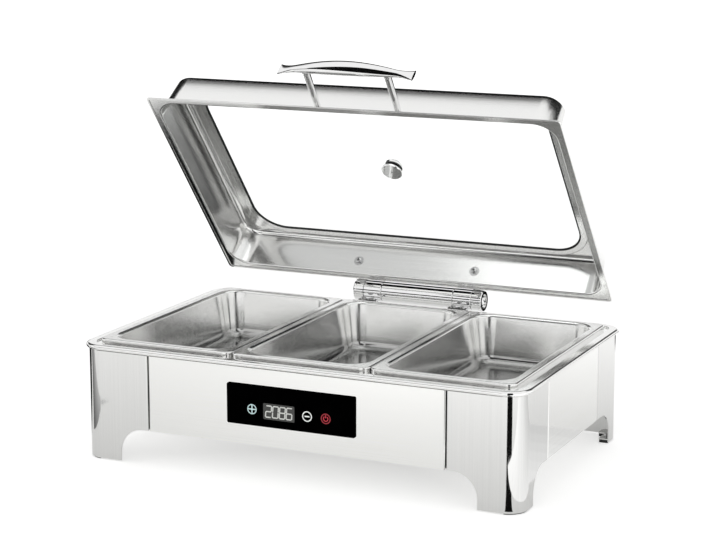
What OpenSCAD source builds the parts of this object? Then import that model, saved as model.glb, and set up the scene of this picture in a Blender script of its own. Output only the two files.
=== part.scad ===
// Electric chafing dish: a heated water bath on four legs, three food pans and a hinged lid with a window.
// The origin is on the table under the middle of the body, -Y is the front and +Z is up.
// The lid is drawn closed and then turned open about its hinge. Sizes are in millimetres.

/* [Food pans] */
// Width of one pan over its flange
pan_w = 176; // [160:0.5:190]
// Depth of one pan from front to back over its flange
pan_d = 325; // [300:1:350]
// Gap between neighbouring pans
pan_gap = 0.7; // [0.4:0.1:3]
// Inside depth of a pan
pan_depth = 60; // [40:1:68]
// Distance from the flange's outer edge to the inside of the walls
pan_flange = 12; // [10:0.5:14]
// Outside corner radius of the flange
pan_corner_r = 11; // [6:0.5:14]
// Inside corner radius at the mouth
pan_mouth_r = 25; // [22:0.5:32]
// Lean of the pan walls in degrees
pan_lean = 8; // [1:0.5:9]
// Radius from the flange into the wall
pan_lip_r = 4; // [2.5:0.5:5]
// Radius from the wall into the floor
pan_floor_r = 12; // [6:0.5:14]
// Radius of the flange's rolled edge
pan_edge_r = 2; // [1.5:0.1:2.5]
// Thickness of the pan sheet
pan_t = 1; // [0.7:0.1:1.2]
// Height of the pan flange above the rim
pan_stand = 4.2; // [3:0.1:6]

/* [Body] */
// Height of the walls' lower edge above the table
skirt_z = 42.5; // [38:0.5:60]
// Height of the walls
wall_h = 91.5; // [90:0.5:120]
// Outside radius of the upright corners
corner_r = 24; // [18:1:28]
// Thickness of the wall sheet
sheet_t = 1.2; // [0.8:0.1:1.6]
// Width of each upright seam between a leg and a wall
seam_gap = 1.4; // [0.8:0.1:2]
// Depth of the folded edges behind the seams
fold_w = 9; // [6:0.5:12]
// Depth of the folded edge under each wall
skirt_fold = 14; // [12:0.5:18]

/* [Rim] */
// How far the rim's nose stands out past the walls
rim_over = 3.5; // [2:0.1:5]
// Height of the rim's nose
rim_h = 6; // [5:0.5:9]
// Height of the open joint between the rim's nose and the walls
rim_joint = 1; // [0.6:0.1:1.6]
// Width of the rim's flat from the wall's outside to the groove
rim_flat = 8.4; // [7:0.1:16]
// Width of the groove between the rim and the pans
groove_w = 6; // [3:0.5:10]
// Depth of the groove
groove_drop = 1.5; // [1:0.1:3]

/* [Legs] */
// Width of a leg along the front and back
leg_front = 89; // [84:1:110]
// Width of a leg along the sides
leg_side = 87; // [72:1:110]
// Width of a foot along the front and back
foot_front = 51.5; // [42:0.5:56]
// Width of a foot along the sides
foot_side = 39.5; // [34:0.5:54]
// Radius of the arch beside each foot
arch_r = 30; // [20:1:34]
// Width of the angled foot plate behind the leg sheets
foot_lip = 13; // [12:0.5:16]
// Thickness of the foot plate inside each leg
foot_plate_t = 1.5; // [1:0.1:3]
// Height of the rubber foot pads
pad_h = 4; // [4:0.5:10]
// How far the pads stand out below the legs
pad_proud = 1.5; // [0.5:0.1:2.5]

/* [Water bath and heater] */
// Height from the walls' lower edge to the underside of the water pan
base_room = 20; // [19:0.5:24]
// Clearance from the pans' walls to the water pan's walls
bath_clear = 2.5; // [1.5:0.1:4]
// Corner radius of the water pan
bath_r = 20; // [15:1:28]
// Radius from the water pan's wall into its floor
bath_floor_r = 12; // [6:0.5:14]
// Thickness of the water pan's sheet
bath_t = 1; // [0.8:0.1:1.5]
// Width of the heat spreader
spreader_w = 380; // [300:5:440]
// Depth of the heat spreader
spreader_d = 180; // [140:5:230]
// Thickness of the heat spreader
spreader_t = 4; // [3:0.5:5]
// Radius of the heating element's tube
element_r = 3.5; // [3:0.1:4]
// Distance between the two limbs of the heating element
element_pitch = 90; // [70:1:110]
// Thickness of the bottom cover
cover_t = 1; // [0.8:0.1:1.5]

/* [Lid] */
// How far the lid flange reaches past the pans
lid_over = 2.4; // [1:0.1:4]
// How far the lid sits towards the back
lid_shift = 6.2; // [0:0.1:8]
// Gap between the closed lid and the pans
lid_gap = 0.5; // [0.4:0.1:2]
// Distance from the flange's outer edge to the inside of the walls
lid_flange = 10; // [8:0.5:12]
// Inside height of the lid
lid_depth = 52.5; // [44:0.5:62]
// Lean of the lid walls in degrees
lid_lean = 5; // [1:0.5:6]
// Inside corner radius at the lid's mouth
lid_mouth_r = 27; // [24:0.5:36]
// Outside corner radius of the lid flange
lid_corner_r = 5; // [3.5:0.5:10]
// Radius from the flange into the wall
lid_lip_r = 2.5; // [2:0.1:4]
// Radius from the wall into the top
lid_top_r = 9; // [6:0.5:10]
// Thickness of the lid sheet
lid_t = 1; // [0.8:0.1:1.2]
// Width of the folded hem round the flange
hem_w = 3; // [2:0.1:4]
// Thickness of the folded hem
hem_t = 0.8; // [0.5:0.1:1.2]
// Angle at which the lid stands open
open_angle = 49.5; // [0:0.5:90]

/* [Window] */
// Distance from the lid's side edge to the window
window_side = 40; // [32:0.5:60]
// Distance from the lid's front edge to the window
window_front = 32; // [30.5:0.5:50]
// Corner radius of the window
window_r = 40; // [20:1:60]
// Width of the step that carries the glass
seat_w = 6; // [4:0.5:7]
// Thickness of the glass
glass_t = 4; // [3:0.5:5]
// Thickness of the gasket under the glass
gasket_t = 0.8; // [0.5:0.1:1.5]
// Thickness of the gasket beside the glass
gasket_side = 1.2; // [0.8:0.1:2]
// How far the gasket shows inside the steel step
gasket_show = 2.4; // [0.5:0.1:3]

/* [Steam vent] */
// Radius of the vent's inner disc
vent_r = 13.5; // [12:0.5:20]
// Radius of the vent's stem
vent_stem_r = 5; // [4:0.5:7]
// Radius of the steam hole
vent_hole_r = 1.2; // [0.8:0.1:2]
// Thickness of the vent's disc
vent_disc_t = 2.2; // [1.5:0.1:3]
// Thickness of each vent seal
vent_seal_t = 1.5; // [1:0.1:2.5]

/* [Handle] */
// Length of the handle bar
handle_l = 171; // [140:1:200]
// Place of the handle from the middle of the lid
handle_x = 10.5; // [-30:0.5:30]
// Thickness of the bar in the middle
handle_mid = 17; // [10:0.5:20]
// Thickness of the bar at its tips
handle_tip = 4.5; // [3:0.5:6]
// Distance between the two posts
post_span = 104; // [80:1:110]
// Diameter of a post at the lid
post_d = 7.6; // [7:0.1:14]
// Diameter of a post at the bar
post_top_d = 8.8; // [7:0.1:14]
// Distance from the lid wall to the bar
post_reach = 52; // [45:1:80]
// Height of the posts above the lid flange
post_h = 12; // [9:0.5:20]

/* [Hinge] */
// Distance from the back wall to the hinge axis
hinge_back = 22.9; // [20:0.1:30]
// Height of the hinge axis above the rim
hinge_rise = 9; // [5:0.1:12]
// Outside radius of the hinge barrel
barrel_r = 13.75; // [11:0.25:15]
// Length of the damper tube in the middle
tube_l = 100; // [80:1:130]
// Length of each base knuckle
knuckle_l = 25; // [20:0.5:32]
// Width of each lid arm
arm_w = 10; // [8:0.5:14]
// Thickness of the lid arm's plate on the lid
arm_t = 3; // [2:0.1:4]
// Length of each end cap
cap_l = 4; // [3:0.5:6]
// Radius of the hinge shaft
shaft_r = 5; // [4:0.25:6]
// Wall of each bush
bush_t = 2; // [1.5:0.1:3]
// Running clearance of the shaft in the bushes
run_fit = 0.05; // [0.02:0.01:0.1]
// Thickness of each bracket's foot
bracket_foot_t = 3; // [2:0.1:4]
// Height of the hinge screws above the lid flange
arm_screw_h = 20; // [18:0.5:28]

/* [Controls] */
// Width of the control glass
control_w = 163; // [150:1:190]
// Height of the control glass
control_h = 48; // [44:0.5:60]
// Thickness of the control glass
control_t = 2; // [1.5:0.1:3]
// Place of the control glass from the middle of the front
control_x = -1.5; // [-20:0.5:20]
// Height of the control glass's middle above the walls' lower edge
control_z = 48.1; // [40:0.1:56]
// Width of the cut-out behind the control glass
cutout_w = 120; // [110:1:140]
// Height of the cut-out behind the control glass
cutout_h = 25; // [22:0.5:32]
// Drop of the cut-out below the glass's middle
cutout_drop = 5.1; // [0:0.1:8]

/* [Power inlet] */
// Distance of the inlet's middle from the end of the back wall
inlet_in = 48.7; // [40:0.1:120]
// Height of the inlet above the walls' lower edge
inlet_z = 40; // [30:0.5:60]
// Depth of the socket behind the wall's outside
inlet_depth = 14; // [12:0.5:15]

/* [Hidden] */
$fn = 64;

// Sheet that neighbouring stretches of one pressing share, and how far cuts run past a face
tab = 1;
past = 1;
// Clearance round screws and other fixed pieces, and the small gap where round pieces seat
fix_fit = 0.1;
seat_gap = 0.2;

// Plan of the pans, the rim and the body
pan_pitch = pan_w + pan_gap;
group_w = 2 * pan_pitch + pan_w;
step_w = group_w + 2 * groove_w;
step_d = pan_d + 2 * groove_w;
step_r = pan_corner_r + groove_w;
body_w = step_w + 2 * rim_flat;
body_d = step_d + 2 * rim_flat;
rim_w = body_w + 2 * rim_over;
rim_d = body_d + 2 * rim_over;
rim_r = corner_r + rim_over;
pan_mouth_w = pan_w - 2 * pan_flange;
pan_mouth_d = pan_d - 2 * pan_flange;
bath_w = group_w - 2 * pan_flange + 2 * (pan_t + bath_clear);
bath_d = pan_mouth_d + 2 * (pan_t + bath_clear);

// Heights
wall_top = skirt_z + wall_h;
rim_top = wall_top + rim_joint + rim_h;
ledge_z = rim_top - groove_drop;
pan_z = rim_top + pan_stand;
lid_z = pan_z + lid_gap + hem_t;
cover_z = skirt_z + sheet_t;
bath_low = skirt_z + base_room;
bath_top = ledge_z - sheet_t;
spreader_low = bath_low - spreader_t;
element_z = spreader_low - seat_gap - element_r;
reflector_t = 1;
reflector_low = element_z - element_r - seat_gap - reflector_t;

// Wall and leg details
fold_start = sheet_t + cover_t + 0.6;
fold_r = sheet_t + 0.9;
front_l = body_w - 2 * (leg_front + seam_gap);
side_l = body_d - 2 * (leg_side + seam_gap);
pad_clear = 0.5;
foot_screw_r = 2;
foot_head_r = 4;
foot_head_h = 1.8;
foot_head_deep = 2.2;
foot_screw_up = 4;
cover_clear = 1;
cover_screw_in = 8;
cover_screw_r = 1.75;
cover_head_r = 3.4;
cover_head_h = 2;
cover_screw_up = 3;
cover_screw_x = 120;
slot_l = 60;
slot_w = 4;
slot_pitch = 12;
slot_group_x = 150;

// Heater details
stud_r = 2.5;
stud_inset = 14;
heater_nut_r = 4.5;
heater_nut_h = 2.6;
stud_past = 0.6;
spreader_r = 7;
limb_in = 60;
limb_l = spreader_w - 2 * limb_in;
terminal_r = 1.6;
terminal_l = 18;
reflector_in = 3;
bath_lip_r = 3;
bath_flange = 5;
sensor_out = 16;
sensor_h = 9;
sensor_r = 3;
sensor_foot_t = 1.5;
sensor_foot_r = 7;
cutout_up = 28;
cutout_ear_t = 1;
cutout_ear_w = 12;
cutout_ear_l = 26;
cutout_can_r = 8;
cutout_can_h = 8;

// Control details
control_r = 2;
cutout_x = control_x;
cutout_z = skirt_z + control_z - cutout_drop;
housing_t = 1.8;
housing_deep = 15;
housing_over = 8;
housing_r = 3;
board_post_in = 6;
board_post_r = 2.5;
ear_w = 11;
ear_t = 2;
stud_pitch_z = 28;
panel_stud_r = 1.5;
panel_stud_l = 5;
control_nut_r = 3;
control_nut_h = 2.4;
board_t = 1.6;
board_back = 5;
display_w = 41;
display_h = 20;
display_r = 1;
display_x = -14.4;
spring_r = 5;
touch_x = [-48.9, 21.6, 45.1];

// Power board details
power_board_l = 90;
power_board_h = 58;
standoff_l = 4;
standoff_r = 3;
standoff_in = 6;
relay_size = [12, 28, 15];
power_up = 18;
power_z = skirt_z + power_up;

// Inlet details
inlet_x = front_l / 2 - inlet_in;
inlet_w = 27;
inlet_h = 19.8;
inlet_wall = 1.5;
inlet_cut = 5;
inlet_flange_w = 50;
inlet_flange_h = 24;
inlet_flange_t = 2.5;
inlet_flange_r = 3;
inlet_floor = 1.6;
inlet_pitch = 40;
inlet_screw_r = 1.6;
inlet_head_r = 3;
inlet_head_h = 1.6;
pin_wide = 2;
pin_tall = 4;
pin_in = 1.5;
pin_tail = 3;
pin_places = [[-7, 1], [7, 1], [0, -5]];

// Lid plan
lid_w = group_w + 2 * lid_over;
lid_d = pan_d + 2 * lid_over;
lid_mouth_w = lid_w - 2 * lid_flange;
lid_mouth_d = lid_d - 2 * lid_flange;
window_w = lid_w - 2 * window_side;
window_d = lid_d - 2 * window_front;
recess_w = window_w + 2 * seat_w;
recess_d = window_d + 2 * seat_w;
recess_r = window_r + seat_w;
glass_z = lid_depth + lid_t - glass_t;
seat_z = glass_z - gasket_t;
gasket_fit = 0.05;
glass_hole_r = vent_stem_r + 1;

// Vent outer cap
vent_cap_r = vent_r - 1.5;
vent_cap_h = 3;
vent_crown_r = vent_r - 4.5;
vent_crown_h = 5;
vent_stem_up = 2.5;

// Handle details
neck_l = 8;
handle_screw_r = 2;
handle_screw_in = 12;
handle_head_r = 5;
handle_head_h = 3;
bar_steps = 40;
bar_sides = 20;
waist_w = 6;
tip_w = 17;
tip_start = 0.75;

// Hinge details
hinge_y = body_d / 2 + hinge_back;
hinge_z = rim_top + hinge_rise;
bush_r = shaft_r + run_fit + bush_t;
barrel_bevel = 0.7;
press_fit = 0.02;
run_gap = 0.4;
knuckle_x = tube_l / 2 + seat_gap;
arm_x = knuckle_x + knuckle_l + run_gap;
arm_mid = arm_x + arm_w / 2;
arm_r = barrel_r - 0.5;
arm_pad_up = 12;
arm_pad_down = 14;
bracket_y = lid_shift + lid_d / 2 + 1;
base_screw_r = 2;
base_head_r = 3.2;
base_head_h = 2.4;
base_screw_l = 5.5;
base_screw_y = bracket_y + base_head_r + seat_gap;
base_screw_pitch = 13;
lid_screw_r = 2.5;
lid_washer_r = 6.5;
lid_washer_t = 1;
lid_head_r = 4.3;
lid_head_h = 2.4;

steel = [0.80, 0.80, 0.79];
bright_steel = [0.87, 0.87, 0.86];
rubber = [0.06, 0.06, 0.06];
black_plastic = [0.08, 0.08, 0.09];
board_green = [0.10, 0.35, 0.20];

// Outlines lie on a grid of a hundredth of a millimetre, so that neighbouring stretches meet exactly
function grid(x) = round(x * 100) / 100;

// Points on an arc, in the plane of an outline
function arc(c, r, from, to, n = 5) = [for (i = [0:n]) let (a = from + (to - from) * i / n)
    [grid(c[0] + r * cos(a)), grid(c[1] + r * sin(a))]];

// How far the floor of a drawn shell starts inside its mouth
function floor_inset(depth, lean, lip_r, floor_r) = lip_r * (cos(lean) - 1)
    + (floor_r + (depth - floor_r - lip_r * (1 - sin(lean))) * sin(lean)) / cos(lean);

// How far the outside of the lid wall lies inside the lid's mouth at a height
function lid_wall_in(h) = lid_lip_r * (cos(lid_lean) - 1)
    + (h - lid_lip_r * (1 - sin(lid_lean))) * tan(lid_lean) - lid_t / cos(lid_lean);

// Rectangle with round corners, about its middle
module round_rect(w, d, r) {
    square([w - 2 * r, d], center = true);
    square([w, d - 2 * r], center = true);
    for (sx = [-1, 1], sy = [-1, 1])
        translate([sx * (w / 2 - r), sy * (d / 2 - r)]) circle(r);
}

// Flat ring between two such rectangles, from height z upwards
module flat_ring(z, t, outer, inner) {
    translate([0, 0, z]) linear_extrude(t) difference() {
        round_rect(outer[0], outer[1], outer[2]);
        round_rect(inner[0], inner[1], inner[2]);
    }
}

// A rectangle's sizes and corner radius, grown by the same amount on every side
function grown(w, d, r, by) = [w + 2 * by, d + 2 * by, r + by];

// Closed frame: an outline of inward distance and height, carried round a rectangle with round corners
module swept_frame(w, d, r, outline) {
    for (side = [0, 1]) mirror([0, side, 0]) translate([r - w / 2, -d / 2, 0])
        rotate([90, 0, 90]) linear_extrude(w - 2 * r) polygon(outline);
    for (side = [0, 1]) mirror([side, 0, 0]) translate([-w / 2, d / 2 - r, 0])
        rotate([90, 0, 0]) linear_extrude(d - 2 * r) polygon(outline);
    for (sx = [0, 1], sy = [0, 1]) mirror([sx, 0, 0]) mirror([0, sy, 0])
        translate([w / 2 - r, d / 2 - r, 0])
            rotate_extrude(angle = 90) polygon([for (p = outline) [r - p[0], p[1]]]);
}

// Deep-drawn sheet: flange edge, leaning walls with round corners, and a floor cut by the children.
// w, d and r are the inside of the mouth, which is at height 0 with the floor below it.
module drawn_shell(w, d, r, depth, lean, lip_r, floor_r, t) {
    inset = grid(floor_inset(depth, lean, lip_r, floor_r));
    lip = [-lip_r, -lip_r];
    low = [inset, floor_r - depth];
    inside = concat([[-lip_r - tab, 0]], arc(lip, lip_r, 90, lean), arc(low, floor_r, 180 + lean, 270));
    outside = concat(arc(low, floor_r + t, 270, 180 + lean), arc(lip, lip_r - t, lean, 90));
    floor_edge = [[inset + tab, -depth], [inset + tab, -depth - t]];
    swept_frame(w, d, r, concat(inside, floor_edge, outside, [[-lip_r - tab, -t]]));
    plate = grown(w, d, r, -inset - tab / 2);
    translate([0, 0, -depth - t]) linear_extrude(t) difference() {
        round_rect(plate[0], plate[1], plate[2]);
        children();
    }
}

// Screw along -Z with its head above height 0
module screw(head_r, head_h, shank_r, shank_l) {
    cylinder(h = head_h, r = head_r);
    translate([0, 0, -shank_l]) cylinder(h = shank_l + head_h / 2, r = shank_r);
}

// Six-sided nut from height 0 upwards
module nut(across_r, h, bore_r) {
    difference() {
        cylinder(h = h, r = across_r, $fn = 6);
        translate([0, 0, -past]) cylinder(h = h + 2 * past, r = bore_r);
    }
}

// Places with their own Z pointing out of the front or the back wall
module on_front(x, z) { translate([x, -body_d / 2, z]) rotate([90, 0, 0]) children(); }
module on_back(x, z) { translate([x, body_d / 2, z]) rotate([-90, 0, 0]) children(); }

// Rectangle from the origin with its corner at the origin rounded
module corner_square(w, d, r) {
    difference() {
        square([w, d]);
        difference() {
            translate([-past, -past]) square(r + past);
            translate([r, r]) circle(r);
        }
    }
}

// Plan of a wall whose two ends are bent back by a depth
module bent_plan(length, deep) {
    half = (length + tab) / 2;
    for (end = [0, 1]) translate([end * length, 0]) mirror([end, 0]) difference() {
        corner_square(half, deep, fold_r);
        translate([sheet_t, sheet_t]) corner_square(half, deep, fold_r - sheet_t);
    }
}

// One folded wall, with its outside on the X axis and its inside towards +Y
module wall_sheet(length) {
    translate([-length / 2, 0, 0]) {
        linear_extrude(wall_h) bent_plan(length, fold_r);
        translate([0, 0, fold_start]) linear_extrude(wall_h - fold_start) bent_plan(length, fold_w);
        translate([fold_r, 0, 0]) cube([length - 2 * fold_r, skirt_fold, sheet_t]);
        translate([fold_r, 0, wall_h - sheet_t]) cube([length - 2 * fold_r, fold_w, sheet_t]);
    }
}

// Holes for the bottom cover's screws, at places along a wall's lower fold
module fold_holes(places) {
    for (x = places) translate([x, cover_screw_in, -past])
        cylinder(h = sheet_t + 2 * past, r = cover_screw_r + fix_fit);
}

module front_panel() color(bright_steel) {
    translate([0, -body_d / 2, skirt_z]) difference() {
        wall_sheet(front_l);
        translate([cutout_x - cutout_w / 2, -past, cutout_z - skirt_z - cutout_h / 2])
            cube([cutout_w, sheet_t + 2 * past, cutout_h]);
        fold_holes([-cover_screw_x, cover_screw_x]);
    }
    control_studs() translate([0, 0, -sheet_t - panel_stud_l])
        cylinder(h = panel_stud_l + sheet_t / 2, r = panel_stud_r);
}

module back_panel() color(bright_steel) {
    difference() {
        translate([0, body_d / 2, skirt_z]) rotate(180) difference() {
            wall_sheet(front_l);
            fold_holes([-cover_screw_x, cover_screw_x]);
        }
        on_back(inlet_x, skirt_z + inlet_z) {
            translate([0, 0, -sheet_t - past]) linear_extrude(sheet_t + 2 * past)
                inlet_outline(inlet_w + 2 * fix_fit, inlet_h + 2 * fix_fit, inlet_cut);
            for (s = [-1, 1]) translate([s * inlet_pitch / 2, 0, -sheet_t - past])
                cylinder(h = sheet_t + 2 * past, r = inlet_screw_r + fix_fit);
        }
    }
}

module side_panel() {
    difference() {
        wall_sheet(side_l);
        fold_holes([0]);
    }
}

module left_panel() color(bright_steel) translate([-body_w / 2, 0, skirt_z]) rotate(-90) side_panel();

module right_panel() color(bright_steel) translate([body_w / 2, 0, skirt_z]) rotate(90) side_panel();

// Cut under a leg from the foot to the seam, in the plane of the wall
module arch(foot, leg) {
    translate([foot, -past]) square([leg - foot + past, skirt_z - arch_r + past]);
    translate([foot + arch_r, -past]) square([leg - foot - arch_r + past, skirt_z + past]);
    translate([foot + arch_r, skirt_z - arch_r]) circle(arch_r);
}

// Turns a piece drawn at the front left corner into the one at a given corner
module at_corner(right, back) {
    mirror([right, 0, 0]) mirror([0, back, 0]) translate([-body_w / 2, -body_d / 2, 0]) children();
}

// How far a foot plate ends short of the arch at the front and at the side, and where its screw goes
foot_short = [30, 1];
foot_screw_in = 10;
foot_mid = [(sheet_t + foot_lip) / 2, foot_side - foot_short[1] - foot_screw_in];

// Outline of a leg, less a margin, with its corner and the bends at its two edges rounded
module leg_plan(in) {
    w = leg_front - 2 * in;
    d = leg_side - 2 * in;
    translate([in, in]) intersection() {
        corner_square(w, d, corner_r - in);
        translate([w, 0]) mirror([1, 0]) corner_square(w, d, fold_r - in);
        translate([0, d]) mirror([0, 1]) corner_square(w, d, fold_r - in);
    }
}

// Plan of the leg sheet with its two edges bent back by a depth
module leg_sheet(deep) {
    difference() {
        leg_plan(0);
        leg_plan(sheet_t);
        translate([corner_r, deep]) square([leg_front, leg_side]);
        translate([deep, corner_r]) square([leg_front, leg_side]);
    }
}

// Angled outline of a foot plate or pad, less a margin
module foot_outline(in) {
    low = in > 0 ? sheet_t + in : 0;
    difference() {
        translate([low, low]) corner_square(foot_front - foot_short[0] - in - low,
            foot_side - foot_short[1] - in - low, corner_r - low);
        translate([foot_lip - in, foot_lip - in]) square([foot_front, foot_side]);
    }
}

module corner_leg() {
    difference() {
        union() {
            translate([0, 0, pad_proud]) linear_extrude(wall_top - pad_proud) leg_sheet(fold_r);
            translate([0, 0, skirt_z + fold_start]) linear_extrude(wall_h - fold_start) leg_sheet(fold_w);
            translate([0, 0, wall_top - sheet_t]) linear_extrude(sheet_t) difference() {
                leg_plan(0);
                translate([fold_w, fold_w]) corner_square(leg_front, leg_side, corner_r - fold_w);
            }
            translate([0, 0, pad_h]) linear_extrude(foot_plate_t) foot_outline(0);
        }
        translate([0, sheet_t + past, 0]) rotate([90, 0, 0])
            linear_extrude(sheet_t + 2 * past) arch(foot_front, leg_front);
        translate([-past, 0, 0]) rotate([90, 0, 90])
            linear_extrude(sheet_t + 2 * past) arch(foot_side, leg_side);
        translate([foot_mid[0], foot_mid[1], 0])
            cylinder(h = pad_h + foot_plate_t + past, r = foot_screw_r + fix_fit);
    }
}

module corner_leg_front_left() color(steel) at_corner(0, 0) corner_leg();

module corner_leg_front_right() color(steel) at_corner(1, 0) corner_leg();

module corner_leg_back_left() color(steel) at_corner(0, 1) corner_leg();

module corner_leg_back_right() color(steel) at_corner(1, 1) corner_leg();

module foot_pad() {
    difference() {
        linear_extrude(pad_h) foot_outline(pad_clear);
        translate([foot_mid[0], foot_mid[1], -past]) {
            cylinder(h = pad_h + 2 * past, r = foot_screw_r + fix_fit);
            cylinder(h = foot_head_deep + past, r = foot_head_r + fix_fit);
        }
    }
}

module foot_pad_front_left() color(rubber) at_corner(0, 0) foot_pad();

module foot_pad_front_right() color(rubber) at_corner(1, 0) foot_pad();

module foot_pad_back_left() color(rubber) at_corner(0, 1) foot_pad();

module foot_pad_back_right() color(rubber) at_corner(1, 1) foot_pad();

module foot_screws() color(steel) {
    shank_l = pad_h - foot_head_deep + foot_plate_t + foot_screw_up;
    for (right = [0, 1], back = [0, 1]) at_corner(right, back)
        translate([foot_mid[0], foot_mid[1], foot_head_deep]) rotate([180, 0, 0])
            screw(foot_head_r, foot_head_h, foot_screw_r, shank_l);
}

module top_rim() color(bright_steel) {
    nose_r = rim_h / 2;
    foot = max(nose_r, rim_over) + 1.4;
    back = foot + 2;
    inner = [step_w, step_d, step_r];
    outer = grown(step_w, step_d, step_r, sheet_t);
    difference() {
        union() {
            translate([0, 0, rim_top]) swept_frame(rim_w, rim_d, rim_r, concat(
                [[back, -rim_h - rim_joint], [foot, -rim_h - rim_joint], [foot, -rim_h]],
                arc([nose_r, -nose_r], nose_r, 270, 90, 8),
                [[back + tab, 0], [back + tab, -sheet_t], [back, -sheet_t]]));
            flat_ring(rim_top - sheet_t, sheet_t, grown(rim_w, rim_d, rim_r, -back - tab / 2), inner);
            flat_ring(ledge_z - sheet_t, rim_top - ledge_z + sheet_t, outer, inner);
            flat_ring(ledge_z - sheet_t, sheet_t, outer, [bath_w, bath_d, bath_r]);
        }
        base_screw_places() translate([0, 0, rim_top - base_screw_l - past])
            cylinder(h = base_screw_l + 2 * past, r = base_screw_r + fix_fit);
    }
}

// Corners of the heat spreader where the water pan's studs stand
module stud_places() {
    for (sx = [-1, 1], sy = [-1, 1])
        translate([sx * (spreader_w / 2 - stud_inset), sy * (spreader_d / 2 - stud_inset), 0]) children();
}

module water_pan() color(steel) {
    flange_in = grown(bath_w, bath_d, bath_r, bath_lip_r + tab / 2);
    flange_out = grown(bath_w, bath_d, bath_r, bath_lip_r + bath_flange);
    translate([0, 0, bath_top]) {
        drawn_shell(bath_w, bath_d, bath_r, bath_top - bath_low - bath_t, 0, bath_lip_r, bath_floor_r, bath_t);
        flat_ring(-bath_t, bath_t, flange_out, flange_in);
    }
    stud_low = reflector_low - heater_nut_h - stud_past;
    stud_places() translate([0, 0, stud_low]) cylinder(h = bath_low - stud_low + bath_t / 2, r = stud_r);
}

module heat_spreader() color([0.75, 0.76, 0.78]) {
    difference() {
        translate([0, 0, spreader_low]) linear_extrude(spreader_t)
            round_rect(spreader_w, spreader_d, spreader_r);
        stud_places() translate([0, 0, spreader_low - past])
            cylinder(h = spreader_t + 2 * past, r = stud_r + fix_fit);
    }
}

module heating_element() color([0.35, 0.33, 0.32]) translate([0, 0, element_z]) {
    for (s = [-1, 1]) translate([-limb_l / 2, s * element_pitch / 2, 0]) rotate([0, 90, 0]) {
        cylinder(h = limb_l, r = element_r);
        translate([0, 0, limb_l - past]) cylinder(h = terminal_l + past, r = terminal_r);
    }
    translate([-limb_l / 2, 0, 0]) rotate(90) rotate_extrude(angle = 180)
        translate([element_pitch / 2, 0]) circle(element_r);
}

module heat_reflector() color(steel) {
    difference() {
        translate([0, 0, reflector_low]) linear_extrude(reflector_t)
            round_rect(spreader_w - 2 * reflector_in, spreader_d - 2 * reflector_in, spreader_r - reflector_in);
        stud_places() translate([0, 0, reflector_low - past])
            cylinder(h = reflector_t + 2 * past, r = stud_r + fix_fit);
    }
}

module heater_nuts() color(steel) {
    stud_places() translate([0, 0, reflector_low - heater_nut_h])
        nut(heater_nut_r, heater_nut_h, stud_r + fix_fit);
}

module temperature_sensor() color([0.75, 0.72, 0.60]) {
    translate([-spreader_w / 2 - sensor_out, 0, bath_low - sensor_h]) {
        cylinder(h = sensor_h, r = sensor_r);
        translate([0, 0, sensor_h - sensor_foot_t]) cylinder(h = sensor_foot_t, r = sensor_foot_r);
    }
}

module thermal_cutout() color([0.16, 0.14, 0.13]) {
    translate([bath_w / 2 + bath_t, 0, bath_low + cutout_up]) rotate([0, 90, 0]) {
        linear_extrude(cutout_ear_t) round_rect(cutout_ear_w, cutout_ear_l, cutout_ear_w / 2 - past);
        cylinder(h = cutout_can_h, r = cutout_can_r);
        for (s = [-1, 1]) translate([0, s * cutout_can_r / 2, cutout_can_h])
            cube([cutout_can_r, cutout_ear_t, cutout_can_h], center = true);
    }
}

// Places of the bottom cover's screws, at the underside of the walls' lower folds
module cover_screw_places() {
    for (x = [-cover_screw_x, cover_screw_x], s = [-1, 1])
        translate([x, s * (body_d / 2 - cover_screw_in), skirt_z]) children();
    for (s = [-1, 1]) translate([s * (body_w / 2 - cover_screw_in), 0, skirt_z]) children();
}

module bottom_cover() color(steel) {
    in = sheet_t + cover_clear;
    difference() {
        translate([0, 0, cover_z]) linear_extrude(cover_t) difference() {
            round_rect(body_w - 2 * in, body_d - 2 * in, corner_r - in);
            for (s = [-1, 1], i = [-3:3]) translate([s * slot_group_x, i * slot_pitch])
                round_rect(slot_l, slot_w, slot_w / 2 - 0.01);
        }
        cover_screw_places() cylinder(h = sheet_t + cover_t + past, r = cover_screw_r + fix_fit);
    }
}

module bottom_screws() color(steel) {
    cover_screw_places() rotate([180, 0, 0])
        screw(cover_head_r, cover_head_h, cover_screw_r, sheet_t + cover_t + cover_screw_up);
}

module control_glass() color([0.02, 0.02, 0.02]) {
    on_front(control_x, skirt_z + control_z) linear_extrude(control_t)
        round_rect(control_w, control_h, control_r);
}

// Places of the studs that hold the control housing, with Z out of the front
module control_studs() {
    stud_x = cutout_w / 2 + housing_over + ear_w / 2;
    for (sx = [-1, 1], sz = [-1, 1])
        on_front(cutout_x + sx * stud_x, cutout_z + sz * stud_pitch_z / 2) children();
}

// Depths behind the wall's outside of the board's front and of the housing's back
board_front = sheet_t + housing_deep - housing_t - board_back - board_t;
housing_back = sheet_t + housing_deep;

module display_module() color([0.15, 0.15, 0.16]) {
    on_front(cutout_x + display_x, cutout_z) translate([0, 0, -board_front])
        linear_extrude(board_front - seat_gap) round_rect(display_w, display_h, display_r);
}

module touch_springs() color([0.80, 0.72, 0.45]) {
    for (x = touch_x) on_front(cutout_x + x, cutout_z) translate([0, 0, -board_front])
        cylinder(h = board_front - seat_gap, r = spring_r);
}

module control_board() color(board_green) {
    on_front(cutout_x, cutout_z) translate([0, 0, -board_front - board_t]) linear_extrude(board_t)
        round_rect(cutout_w + housing_over, cutout_h + housing_over, display_r);
}

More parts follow.
